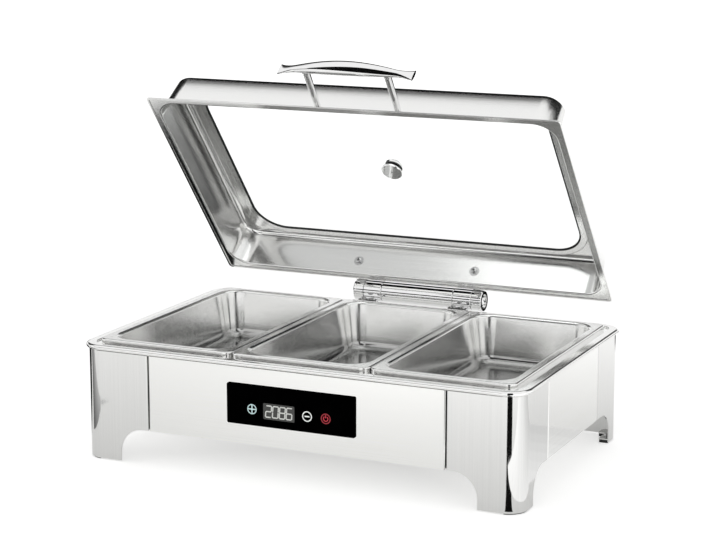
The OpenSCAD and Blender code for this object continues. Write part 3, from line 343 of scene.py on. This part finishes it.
def floor_inset(depth, lean, lip_r, floor_r):
    """Distance from the mouth to the middle of the bend between a leaning wall and a floor."""
    a = math.radians(lean)
    straight = depth - floor_r - lip_r * (1 - math.sin(a))
    return lip_r * (math.cos(a) - 1) + (floor_r + straight * math.sin(a)) / math.cos(a)


def food_pan():
    """A pan with its flange top at height 0: rolled edge, lip, leaning wall, floor, and the same below."""
    mouth_r, corner_r = 25, 11
    lean, depth, lip_r, floor_r, edge_r, t = 8, 60, 4, 12, 2, 1
    mouth = (PAN_W - 2 * PAN_FLANGE, PAN_D - 2 * PAN_FLANGE, mouth_r)
    edge = (PAN_W, PAN_D, corner_r)
    inset = floor_inset(depth, lean, lip_r, floor_r)
    edge_low = RIM_TOP - 1.5 - PAN_TOP
    rings = [inward(*edge, 0, edge_low)]
    rings += [inward(*edge, u, z) for u, z in bend(edge_r, -edge_r, edge_r, 180, 90, 6)]
    rings += [inward(*mouth, u, z) for u, z in bend(-lip_r, -lip_r, lip_r, 90, lean)]
    rings += [inward(*mouth, u, z) for u, z in bend(inset, floor_r - depth, floor_r, 180 + lean, 270, 12)]
    top = skin(rings, cap_last=True)
    rings = [inward(*edge, t, edge_low)]
    rings += [inward(*edge, u, z) for u, z in bend(edge_r, -edge_r, edge_r - t, 180, 90, 4)]
    rings += [inward(*mouth, u, z) for u, z in bend(-lip_r, -lip_r, lip_r - t, 90, lean, 6)]
    rings += [inward(*mouth, u, z) for u, z in bend(inset, floor_r - depth, floor_r + t, 180 + lean, 270)]
    under = skin(rings, cap_last=True)
    rim = skin([inward(*edge, 0, edge_low), inward(*edge, t, edge_low)])
    return joined(top, under, rim)


for side, x in (("left", -PAN_PITCH), ("centre", 0.0), ("right", PAN_PITCH)):
    points, faces = food_pan()
    drawn = piece("drawn_pan_" + side, points, faces, "base", PAN,
                  Matrix.Translation((x, 0, PAN_TOP)))
    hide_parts("pan_" + side)


# Rim with its round nose, groove and ledge

def top_rim():
    """The rim's section, with its flat top at height 0, carried round the body."""
    over, groove, ledge = 3.5, 6, 3.5
    t, drop, soft, nose_r = 1.2, 1.5, 0.7, 3
    lip_in, lip_out, lip_low = 6.9, 4.9, -7
    pans_w = PAN_W * 3 + 2 * PAN_GAP
    outer = (BODY_W + 2 * over, BODY_D + 2 * over, 27.5)
    step = (pans_w + 2 * groove, PAN_D + 2 * groove, 17)
    bath = (pans_w - 2 * PAN_FLANGE + 2 * ledge, PAN_D - 2 * PAN_FLANGE + 2 * ledge, 20)
    rings = [inward(*outer, lip_in, lip_low), inward(*outer, lip_out, lip_low), inward(*outer, lip_out, -2 * nose_r)]
    rings += [inward(*outer, u, z) for u, z in bend(nose_r, -nose_r, nose_r, 270, 90, 14)]
    rings += [inward(*step, -u, z) for u, z in bend(soft, -soft, soft, 90, 180, 4)]
    rings += [inward(*step, 0, -drop), inward(*bath, 0, -drop), inward(*bath, 0, -drop - t)]
    rings += [inward(*step, -t, -drop - t), inward(*step, -t, -t), inward(*outer, lip_in, -t)]
    return skin(rings, closed=True)


points, faces = top_rim()
rim = piece("rolled_rim", points, faces, "base", RIM, Matrix.Translation((0, 0, RIM_TOP)))
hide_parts("top_rim")


# Lid, in its own frame with the flange's underside at height 0, then turned open about the hinge

TO_HINGE = Matrix.Translation((0, HINGE_Y, HINGE_Z))
LID_PLACE = (TO_HINGE @ Matrix.Rotation(math.radians(-LID_OPEN), 4, "X") @ TO_HINGE.inverted()
             @ Matrix.Translation((0, LID_SHIFT, LID_Z)))


def lid_shell():
    """Hem, flange, outer wall, window step, and back along the inside."""
    lean, lip_r, t = LID_LEAN, LID_LIP_R, LID_T
    depth, top_r, hem, hem_in, hem_r, soft, sunk = 52.5, 9, 0.8, 3, 0.9, 1.8, 4.8
    side, front, ledge, window_r = 40, 32, 6, 40
    mouth = (LID_W - 2 * LID_FLANGE, LID_D - 2 * LID_FLANGE, 27)
    edge = (LID_W, LID_D, 5)
    window = (LID_W - 2 * side, LID_D - 2 * front, window_r)
    recess = (window[0] + 2 * ledge, window[1] + 2 * ledge, window_r + ledge)
    seat = depth + t - sunk
    inset = floor_inset(depth, lean, lip_r, top_r)
    low = depth - top_r
    rings = [inward(*edge, hem_in, 0), inward(*edge, hem_in, -hem)]
    rings += [inward(*edge, u, z) for u, z in bend(hem_r, 0.1, hem_r, 270, 90, 8)]
    rings += [inward(*mouth, u, -z) for u, z in bend(-lip_r, -lip_r, lip_r - t, 90, lean, 6)]
    rings += [inward(*mouth, u, low + z) for u, z in bend(inset, 0, top_r + t, 180 - lean, 90, 12)]
    rings += [inward(*recess, -u, depth + z) for u, z in bend(soft, t - soft, soft, 90, 180, 4)]
    rings += [inward(*recess, 0, seat), inward(*window, 0, seat), inward(*window, 0, seat - t)]
    rings += [inward(*recess, u - soft - t, seat + z) for u, z in bend(soft, soft - t, soft, 270, 180, 4)]
    rings += [inward(*recess, -t, depth)]
    rings += [inward(*mouth, u, low + z) for u, z in bend(inset, 0, top_r, 90, 180 - lean, 12)]
    rings += [inward(*mouth, u, -z) for u, z in bend(-lip_r, -lip_r, lip_r, lean, 90)]
    return skin(rings, closed=True)


points, faces = lid_shell()
shell = piece("pressed_lid", points, faces, "lid", LID, LID_PLACE)
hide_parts("lid_shell")


# Places on the lid's walls

def wall_in(h):
    """How far the outside of the lid's wall has come in from the mouth at height h."""
    a = math.radians(LID_LEAN)
    straight = h - LID_LIP_R * (1 - math.sin(a))
    return LID_LIP_R * (math.cos(a) - 1) + straight * math.tan(a) - LID_T / math.cos(a)


def on_back_wall(x, h, out=0.0):
    """Place on the outside of the lid's back wall, with its own Z out of the wall."""
    turn = Matrix.Rotation(math.radians(LID_LEAN - 90), 4, "X")
    return Matrix.Translation((x, LID_D / 2 - LID_FLANGE - wall_in(h), h)) @ turn @ Matrix.Translation((0, 0, out))


def on_front_wall(x, h, out=0.0):
    """The mirror image of that place, on the front wall."""
    return Matrix.Scale(-1, 4, (0, 1, 0)) @ on_back_wall(x, h, out)


# Handle bar: oval sections on a straight underside, thick in the middle and flared at the tips

def handle_bar():
    def bulge(s):
        return max(0.0, 1 - (s / 0.98) ** 2) ** 1.3

    def thick(s):
        return 4.5 + 12.5 * bulge(s)

    def wide(s):
        return 6 + 12 * bulge(s) + 11 * (max(abs(s) - 0.75, 0) / 0.25) ** 1.5

    steps, around = 96, 32
    rings = []
    for i in range(steps + 1):
        s = 2 * i / steps - 1
        turn = [2 * math.pi * j / around for j in range(around)]
        rings.append([(HANDLE_HALF * s, wide(s) / 2 * math.cos(a), thick(s) / 2 * (1 + math.sin(a))) for a in turn])
    bar = skin(rings, cap_first=True, cap_last=True)
    neck = lathe([(4.31, -8), (4.37, -3), (4.5, -1), (4.9, 0.6), (5.4, 1.8)])
    sides = [moved(neck, Matrix.Translation((s * POST_X, 0, 0))) for s in (-1, 1)]
    return joined(bar, *sides)


points, faces = handle_bar()
bar = piece("cast_handle", points, faces, "lid", CHROME,
            LID_PLACE @ on_front_wall(HANDLE_X, HANDLE_H, POST_L))
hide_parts("handle_bar")


# Screws that hold the hinge arms: washer, domed head and a cross of painted shade on it, seen on the inside of the
# lid's back wall

def lid_screw():
    """Washer, head and shank about Z, with the washer on height 0."""
    washer = lathe([(6.1, 0.0), (6.5, 0.3), (6.5, 0.7), (6.2, 1.0), (4.6, 1.0)])
    head = lathe([(4.3, 0.6), (4.3, 1.9), (3.9, 2.7), (3.0, 3.2), (1.6, 3.4)])
    return joined(washer, head, lathe([(2.5, -4.0), (2.5, 0.5)]))


def cross():
    """The recess of a screw head as two thin black bars, a painted shade in place of the hollow."""
    long, short, low, high = 4.6, 1.1, 3.2, 3.45
    arms = []
    for w, d in ((long, short), (short, long)):
        arms.append(skin([ring(w / 2, d / 2, 0.3, z, 2) for z in (low, high)], cap_first=True, cap_last=True))
    return joined(*arms)


INSIDE = Matrix.Translation((0, 0, -LID_T)) @ Matrix.Rotation(math.pi, 4, "X")
places = [LID_PLACE @ on_back_wall(s * ARM_MID, ARM_SCREW_H) @ INSIDE for s in (-1, 1)]
points, faces = joined(*[moved(lid_screw(), place) for place in places])
heads = piece("lid_screw_heads", points, faces, "lid", SCREW)
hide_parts("lid_hinge_screws")
# Black bars on the heads: painted shade where the cross recesses would be.
points, faces = joined(*[moved(cross(), place) for place in places])
piece("lid_screw_crosses", points, faces, "lid", BLACK)


# Control panel signs, a hair in front of the black glass

GLASS_Y = FRONT_Y - 2.0
PROUD, DISPLAY_PROUD = 0.06, 0.03


def sign(name, shapes, material, lift=PROUD):
    """Flat outlines in X and Z on the panel's glass, each a list of points, as thin raised shapes."""
    parts = []
    for shape in shapes:
        n = len(shape)
        points = [(x, GLASS_Y - lift, z) for x, z in shape] + [(x, GLASS_Y, z) for x, z in shape]
        faces = [tuple(range(n)), tuple(reversed(range(n, 2 * n)))]
        faces += [(j, (j + 1) % n, n + (j + 1) % n, n + j) for j in range(n)]
        parts.append((points, faces))
    points, faces = joined(*parts)
    return piece(name, points, faces, "base", material)


def disc_band(x, z, r_out, r_in, start=0.0, stop=360.0, steps=48):
    """A flat band between two radii, as a chain of small quadrilaterals."""
    shapes = []
    for i in range(steps):
        a, b = (math.radians(start + (stop - start) * k / steps) for k in (i, i + 1))
        shapes.append([(x + r * math.cos(q), z + r * math.sin(q)) for r, q in
                       ((r_in, a), (r_out, a), (r_out, b), (r_in, b))])
    return shapes


def bar_shape(x, z, w, h):
    return [(x - w / 2, z - h / 2), (x + w / 2, z - h / 2), (x + w / 2, z + h / 2), (x - w / 2, z + h / 2)]


def round_bar(x, z, w, h, r, steps=6):
    points = []
    for k, (sx, sz) in enumerate(((1, 1), (-1, 1), (-1, -1), (1, -1))):
        for i in range(steps + 1):
            a = math.radians(90 * (k + i / steps))
            points.append((x + sx * (w / 2 - r) + r * math.cos(a), z + sz * (h / 2 - r) + r * math.sin(a)))
    return points


def digit(x, z, segments, w=7.0, h=13.5, slant=0.08):
    """Lit bars of a seven-bar digit: a top, b and c right, d bottom, e and f left, g middle."""
    t = 1.5
    places = {"a": (0, h / 2, w - t, 0), "d": (0, -h / 2, w - t, 0), "g": (0, 0, w - t, 0),
              "b": (w / 2, h / 4, 0, h / 2 - t), "c": (w / 2, -h / 4, 0, h / 2 - t),
              "e": (-w / 2, -h / 4, 0, h / 2 - t), "f": (-w / 2, h / 4, 0, h / 2 - t)}
    shapes = []
    for key in segments:
        px, pz, lx, lz = places[key]
        if lx:
            shape = [(px - lx / 2 - t / 2, pz), (px - lx / 2, pz - t / 2), (px + lx / 2, pz - t / 2),
                     (px + lx / 2 + t / 2, pz), (px + lx / 2, pz + t / 2), (px - lx / 2, pz + t / 2)]
        else:
            shape = [(px, pz - lz / 2 - t / 2), (px + t / 2, pz - lz / 2), (px + t / 2, pz + lz / 2),
                     (px, pz + lz / 2 + t / 2), (px - t / 2, pz + lz / 2), (px - t / 2, pz - lz / 2)]
        shapes.append([(x + q + slant * p, z + p) for q, p in shape])
    return shapes


DISPLAY_X, DISPLAY_Z = -15.9, 85.5
PLUS_X, MINUS_X, POWER_X = -50.4, 20.1, 43.6
PLUS_Z, KEY_Z = 86.0, 86.0 - 0.7
KEY_R, KEY_HOLE_R = 6.2, 4.9

sign("display_window", [round_bar(DISPLAY_X, DISPLAY_Z, 40, 19, 1.5)], DISPLAY, DISPLAY_PROUD)
lit = []
for x, segments in ((-29.0, "abdeg"), (-20.2, "abcdef"), (-11.4, "abcdefg"), (-2.6, "acdefg")):
    lit += digit(x, DISPLAY_Z, segments)
sign("display_digits", lit, DIGIT)
plus = disc_band(PLUS_X, PLUS_Z, 6.0, KEY_HOLE_R) + [bar_shape(PLUS_X, PLUS_Z, 9.4, 1.5)]
plus += [bar_shape(PLUS_X, PLUS_Z + dz, 1.5, 4) for dz in (2.75, -2.75)]
sign("plus_key", plus, BLUE_SIGN)
minus = disc_band(MINUS_X, KEY_Z, KEY_R, KEY_HOLE_R) + [bar_shape(MINUS_X, KEY_Z, 6.2, 1.6)]
sign("minus_key", minus, WHITE_SIGN)
power = disc_band(POWER_X, KEY_Z, 3.3, 2.3, 125, 415, 36) + [bar_shape(POWER_X, PLUS_Z + 1.9, 1.0, 3.6)]
sign("power_ring", disc_band(POWER_X, KEY_Z, KEY_R, KEY_HOLE_R), DIM_RED_SIGN)
sign("power_key", power, RED_SIGN)


# Studio

FLOOR_SPAN = (-12, 12)
# White added to the floor: the level under the body is a painted shadow, and in mirrors the near level is a painted
# shadow round the body and the left level a painted shade on the left.
FLOOR_UNDER_PAINTED_SHADOW, FLOOR_NEAR, FLOOR_FAR = 0.34, 0.56, 0.2
MIRROR_NEAR_PAINTED_SHADOW, MIRROR_FAR, MIRROR_LEFT_PAINTED_SHADE = 0.32, 0.75, 0.7
WORLD_LIGHT = 0.5
ON_FLOOR = 0.003
WHITE = (1, 1, 1, 1)


def plain(name, colour):
    """A matte card."""
    made, tree, shader = node_material(name)
    shader.inputs["Base Color"].default_value = (*colour, 1)
    shader.inputs["Roughness"].default_value = 0.9
    shader.inputs["Specular IOR Level"].default_value = 0.0
    return made


def seen_rays(tree):
    """1 for rays that show a background: straight from the camera, mirrored or through glass."""
    path = add(tree, "ShaderNodeLightPath")
    total = path.outputs["Is Camera Ray"]
    for name in ("Is Glossy Ray", "Is Transmission Ray"):
        total = number_step(tree, "MAXIMUM", total, path.outputs[name])
    return total


def vector_step(tree, operation, source, other=None):
    node = add(tree, "ShaderNodeVectorMath", operation=operation)
    tree.links.new(source, node.inputs[0])
    if other:
        node.inputs[1].default_value = other
    return node.outputs["Value" if operation == "LENGTH" else "Vector"]


def level(tree, value, start, stop, low, high, smooth=False):
    node = add(tree, "ShaderNodeMapRange", interpolation_type="SMOOTHSTEP" if smooth else "LINEAR",
               **{"From Min": start, "From Max": stop, "To Min": low, "To Max": high})
    tree.links.new(value, node.inputs["Value"])
    return node.outputs["Result"]


def number_step(tree, operation, first, second):
    node = add(tree, "ShaderNodeMath", operation=operation)
    tree.links.new(first, node.inputs[0])
    tree.links.new(second, node.inputs[1])
    return node.outputs[0]


def white_floor():
    """Diffuse floor with white added where it is seen; painted shadow: less under the body, in mirrors less near by
    and left.

    The floor's sheet is turned half round, so its own +X is on the left.
    """
    made, tree, shader = node_material("white floor")
    shader.inputs["Base Color"].default_value = (0.86, 0.86, 0.85, 1)
    shader.inputs["Roughness"].default_value = 0.95
    shader.inputs["Specular IOR Level"].default_value = 0.0
    half = (BODY_W / 2 * MM, BODY_D / 2 * MM)
    place = vector_step(tree, "ABSOLUTE", add(tree, "ShaderNodeTexCoord").outputs["Object"])
    split = add(tree, "ShaderNodeSeparateXYZ")
    tree.links.new(vector_step(tree, "MULTIPLY", place, (1 / half[0], 1 / half[1], 0)), split.inputs[0])
    under = number_step(tree, "MAXIMUM", split.outputs["X"], split.outputs["Y"])
    away = vector_step(tree, "LENGTH", place)
    # Painted shadow under the body: less white towards the middle of the footprint.
    seen = number_step(tree, "ADD", level(tree, under, 0.0, 0.85, FLOOR_UNDER_PAINTED_SHADOW, FLOOR_NEAR),
                       level(tree, away, 0.7, 3.0, 0.0, FLOOR_FAR, True))
    # In mirrors, a painted shadow near the body that fades out 0.6 m away.
    outside = vector_step(tree, "MAXIMUM", vector_step(tree, "SUBTRACT", place, (*half, 0)), (0, 0, 0))
    mirrored = level(tree, vector_step(tree, "LENGTH", outside), 0.0, 0.6, MIRROR_NEAR_PAINTED_SHADOW, MIRROR_FAR)
    sideways = add(tree, "ShaderNodeSeparateXYZ")
    tree.links.new(add(tree, "ShaderNodeTexCoord").outputs["Object"], sideways.inputs[0])
    # In mirrors, a painted shade that darkens the floor on the left.
    mirrored = number_step(tree, "MULTIPLY", mirrored, level(tree, sideways.outputs["X"], 0.1, 0.6, 1.0, MIRROR_LEFT_PAINTED_SHADE))
    by_ray = add(tree, "ShaderNodeMix")
    path = add(tree, "ShaderNodeLightPath")
    in_mirror = number_step(tree, "SUBTRACT", path.outputs["Is Glossy Ray"], path.outputs["Is Transmission Ray"])
    tree.links.new(in_mirror, by_ray.inputs[0])
    tree.links.new(seen, by_ray.inputs[2])
    tree.links.new(mirrored, by_ray.inputs[3])
    white = add(tree, "ShaderNodeEmission", Color=WHITE)
    tree.links.new(number_step(tree, "MULTIPLY", seen_rays(tree), by_ray.outputs[0]), white.inputs["Strength"])
    both = add(tree, "ShaderNodeAddShader")
    tree.links.new(shader.outputs[0], both.inputs[0])
    tree.links.new(white.outputs[0], both.inputs[1])
    tree.links.new(both.outputs[0], tree.nodes["Material Output"].inputs["Surface"])
    return made


def card(name, corners, material):
    """One flat face that belongs to the studio."""
    mesh = bpy.data.meshes.new(name)
    mesh.from_pydata(corners, [], [tuple(range(len(corners)))])
    obj = bpy.data.objects.new(name, mesh)
    bpy.context.scene.collection.objects.link(obj)
    mesh.materials.append(material)
    return obj


def reflected_only(obj, through_glass=False):
    """A card that only mirrors show, as a studio flag stands out of the picture."""
    obj.visible_camera = False
    obj.visible_diffuse = False
    obj.visible_shadow = False
    obj.visible_transmission = through_glass
    return obj


def lamp(name, power, size, place, aim=(0, 0, 0.2)):
    data = bpy.data.lights.new(name, "AREA")
    data.shape = "RECTANGLE"
    data.size, data.size_y = size
    data.energy = power
    obj = bpy.data.objects.new(name, data)
    bpy.context.scene.collection.objects.link(obj)
    obj.location = place
    obj.rotation_euler = (Vector(aim) - Vector(place)).to_track_quat("-Z", "Y").to_euler()
    obj.visible_glossy = False


def upright(y, x, z):
    """Corners of a card that stands across the view and faces the front."""
    return [(x[0], y, z[0]), (x[1], y, z[0]), (x[1], y, z[1]), (x[0], y, z[1])]


def lying(z, x, y):
    """Corners of a level card that faces up."""
    return [(x[0], y[0], z), (x[1], y[0], z), (x[1], y[1], z), (x[0], y[1], z)]


def one_sided(name, colour):
    """A card's face that is clear from behind."""
    made = plain(name, colour)
    tree = made.node_tree
    mix = add(tree, "ShaderNodeMixShader")
    tree.links.new(add(tree, "ShaderNodeNewGeometry").outputs["Backfacing"], mix.inputs[0])
    tree.links.new(tree.nodes["Principled BSDF"].outputs[0], mix.inputs[1])
    tree.links.new(add(tree, "ShaderNodeBsdfTransparent").outputs[0], mix.inputs[2])
    tree.links.new(mix.outputs[0], tree.nodes["Material Output"].inputs["Surface"])
    return made


def toward(far, turn, z=0.002):
    """A point at a distance from the front right corner, in a direction turned from the front to the right."""
    a = math.radians(turn)
    return CORNER_X + far * math.sin(a), CORNER_Y - far * math.cos(a), z


def shade(grey):
    """A card of an even grey in mirrors."""
    made, tree, shader = node_material("shade %.2f" % grey)
    light = add(tree, "ShaderNodeEmission", Color=WHITE, Strength=grey)
    tree.links.new(light.outputs[0], tree.nodes["Material Output"].inputs["Surface"])
    return made


def soft_shade(name, x, y, greys, steps=14):
    """Strips on the floor that mirrors show, from one grey to another along Y."""
    for i in range(steps):
        low, high = (y[0] + (y[1] - y[0]) * k / steps for k in (i, i + 1))
        grey = greys[0] + (greys[1] - greys[0]) * (i + 0.5) / steps
        reflected_only(card("%s_%d" % (name, i), lying(ON_FLOOR, x, (low, high)), shade(grey)))


floor = card("floor", lying(0, FLOOR_SPAN, FLOOR_SPAN), white_floor())
floor.rotation_euler = Vector((0, 0, 1)).to_track_quat("Z", "Y").to_euler()

# Black cards: dark bands on the front right corner, rim, pan walls, inside of the lid, handle
BLACK_CARD = (0.01, 0.01, 0.01)
CORNER_X, CORNER_Y = 0.2551, -0.1529
CORNER_NEAR, CORNER_FAR, CORNER_TOP = 0.03, 0.5, 0.6
CORNER_FROM, CORNER_TO = 10, 36
HANDLE_CARD = ((-0.17, 0.47), (0.0, 0.33), (0.22, 0.30), (0.22, 0.58), (0.0, 0.6), (-0.17, 0.52))
LID_CARD = ((0.02, 0.74), (0.30, 0.60), (1.55, 1.42), (1.05, 1.95))
flag = plain("black flag", BLACK_CARD)
for name, corners, through_glass in (
        ("flag_corner", [toward(CORNER_NEAR, CORNER_FROM), toward(CORNER_NEAR, CORNER_TO),
                         toward(CORNER_FAR, CORNER_TO), toward(CORNER_FAR, CORNER_FROM)], False),
        ("flag_upright", [toward(CORNER_FAR, CORNER_FROM), toward(CORNER_FAR, CORNER_TO),
                          toward(CORNER_FAR, CORNER_TO, CORNER_TOP),
                          toward(CORNER_FAR, CORNER_FROM, CORNER_TOP)], False),
        ("flag_rim", [(-1.0, 0.55, 0.0), (-0.5, 0.95, 0.0), (-0.5, 0.95, 0.26), (-1.0, 0.55, 0.26)], False),
        ("flag_pans", upright(-1.0, (-1.5, -0.05), (0.34, 0.57)), False),
        ("flag_far", upright(2, (-3, 0.95), (0.95, 2.6)), True),
        ("flag_handle", [(x, -0.2, z) for x, z in HANDLE_CARD], False),
        ("flag_lid", [(x, y, ON_FLOOR) for x, y in LID_CARD], True)):
    reflected_only(card(name, corners, flag), through_glass)

# Black cards close to the part, clear from behind so that other sides don't mirror them
near_card = one_sided("black flag near the lid, painted shade at the hinge", BLACK_CARD)
for name, corners in (
        # In the gap between the lid's back wall and the hinge tube, a black card as painted shade that only mirrors
        # show.
        ("painted_shade_hinge_gap", [(-0.125, 0.2108, 0.2093), (0.1, 0.2108, 0.2093),
                        (0.1, 0.1855, 0.1835), (-0.125, 0.1855, 0.1835)]),
        ("flag_left", upright(-0.1, (-0.9, -0.30), (0.0, 0.13))),
        ("flag_beside", lying(0.152, (-0.42, -0.27), (-0.03, 0.22))),
        ("flag_edge", upright(0.012, (-0.29, 0.27), (0.4405, 0.4915))),
        ("flag_bend", upright(0.05, (-0.42, 0.34), (0.445, 0.57)))):
    reflected_only(card(name, corners, near_card))

# Grey cards: floor beside the front corners, and one overhead that only the lid's glass shows
soft_shade("shade_left", (-1.4, -0.38), (-0.40, -0.17), (0.62, 0.12))
soft_shade("shade_right", (0.31, 0.9), (-0.35, 0.17), (1.4, 0.78))
overhead = card("shade_over", lying(1.5, (-1.5, -0.45), (-0.4, 0.6)), shade(0.62))
reflected_only(overhead, True).visible_glossy = False

# World: white to the camera, and in mirrors a dark band at half height behind the part
DARK_BAND, DARK = (0.25, 0.32, 0.70, 0.76), (0.05, 0.05, 0.05, 1)
world = bpy.data.worlds.new("studio")
bpy.context.scene.world = world
world.use_nodes = True
sky = world.node_tree
back = sky.nodes["Background"]
back.inputs["Color"].default_value = WHITE
path = add(sky, "ShaderNodeLightPath")
direction = add(sky, "ShaderNodeTexCoord")
split = add(sky, "ShaderNodeSeparateXYZ")
sky.links.new(direction.outputs["Generated"], split.inputs[0])
above = add(sky, "ShaderNodeValToRGB")
stops = above.color_ramp.elements
stops[0].position, stops[0].color = DARK_BAND[0], WHITE
stops[1].position, stops[1].color = DARK_BAND[3], WHITE
for place in DARK_BAND[1:3]:
    stops.new(place).color = DARK
sky.links.new(split.outputs["Z"], above.inputs["Fac"])
behind = number_step(sky, "MULTIPLY", level(sky, split.outputs["Y"], -0.05, 0.1, 0.0, 1.0),
                     level(sky, split.outputs["X"], 0.5, 0.62, 1.0, 0.0))
studio = add(sky, "ShaderNodeMix")
studio.inputs[2].default_value = 1.0
sky.links.new(behind, studio.inputs[0])
sky.links.new(above.outputs["Color"], studio.inputs[3])


def chosen(ray, when_on, otherwise):
    """Strength by kind of ray."""
    node = add(sky, "ShaderNodeMix")
    for value, socket in ((path.outputs[ray], 0), (otherwise, 2), (when_on, 3)):
        if isinstance(value, float):
            node.inputs[socket].default_value = value
        else:
            sky.links.new(value, node.inputs[socket])
    return node.outputs[0]


strength = chosen("Is Glossy Ray", studio.outputs[0], WORLD_LIGHT)
strength = chosen("Is Transmission Ray", 1.0, strength)
sky.links.new(chosen("Is Camera Ray", 1.0, strength), back.inputs["Strength"])

lamp("overhead", 7, (2.4, 1.8), (-0.2, -0.3, 2.6))
lamp("left", 3, (1.2, 1.6), (-2.2, -1.4, 1.4))
lamp("right", 2, (1.2, 1.6), (2.4, -1.0, 1.2))

bpy.context.scene.view_settings.view_transform = "Standard"


# Camera at the photograph's place

SENSOR, LENS = 36.0, 103.85
EYE, AIM = (1.0126, -2.2220, 0.7212), (0.00253, 0, 0.2208)
camera = bpy.data.cameras.new("camera")
camera.sensor_width, camera.lens = SENSOR, LENS
camera.clip_end = 100.0
eye = bpy.data.objects.new("camera", camera)
bpy.context.scene.collection.objects.link(eye)
eye.location = EYE
eye.rotation_euler = (Vector(AIM) - eye.location).to_track_quat("-Z", "Y").to_euler()
bpy.context.scene.camera = eye
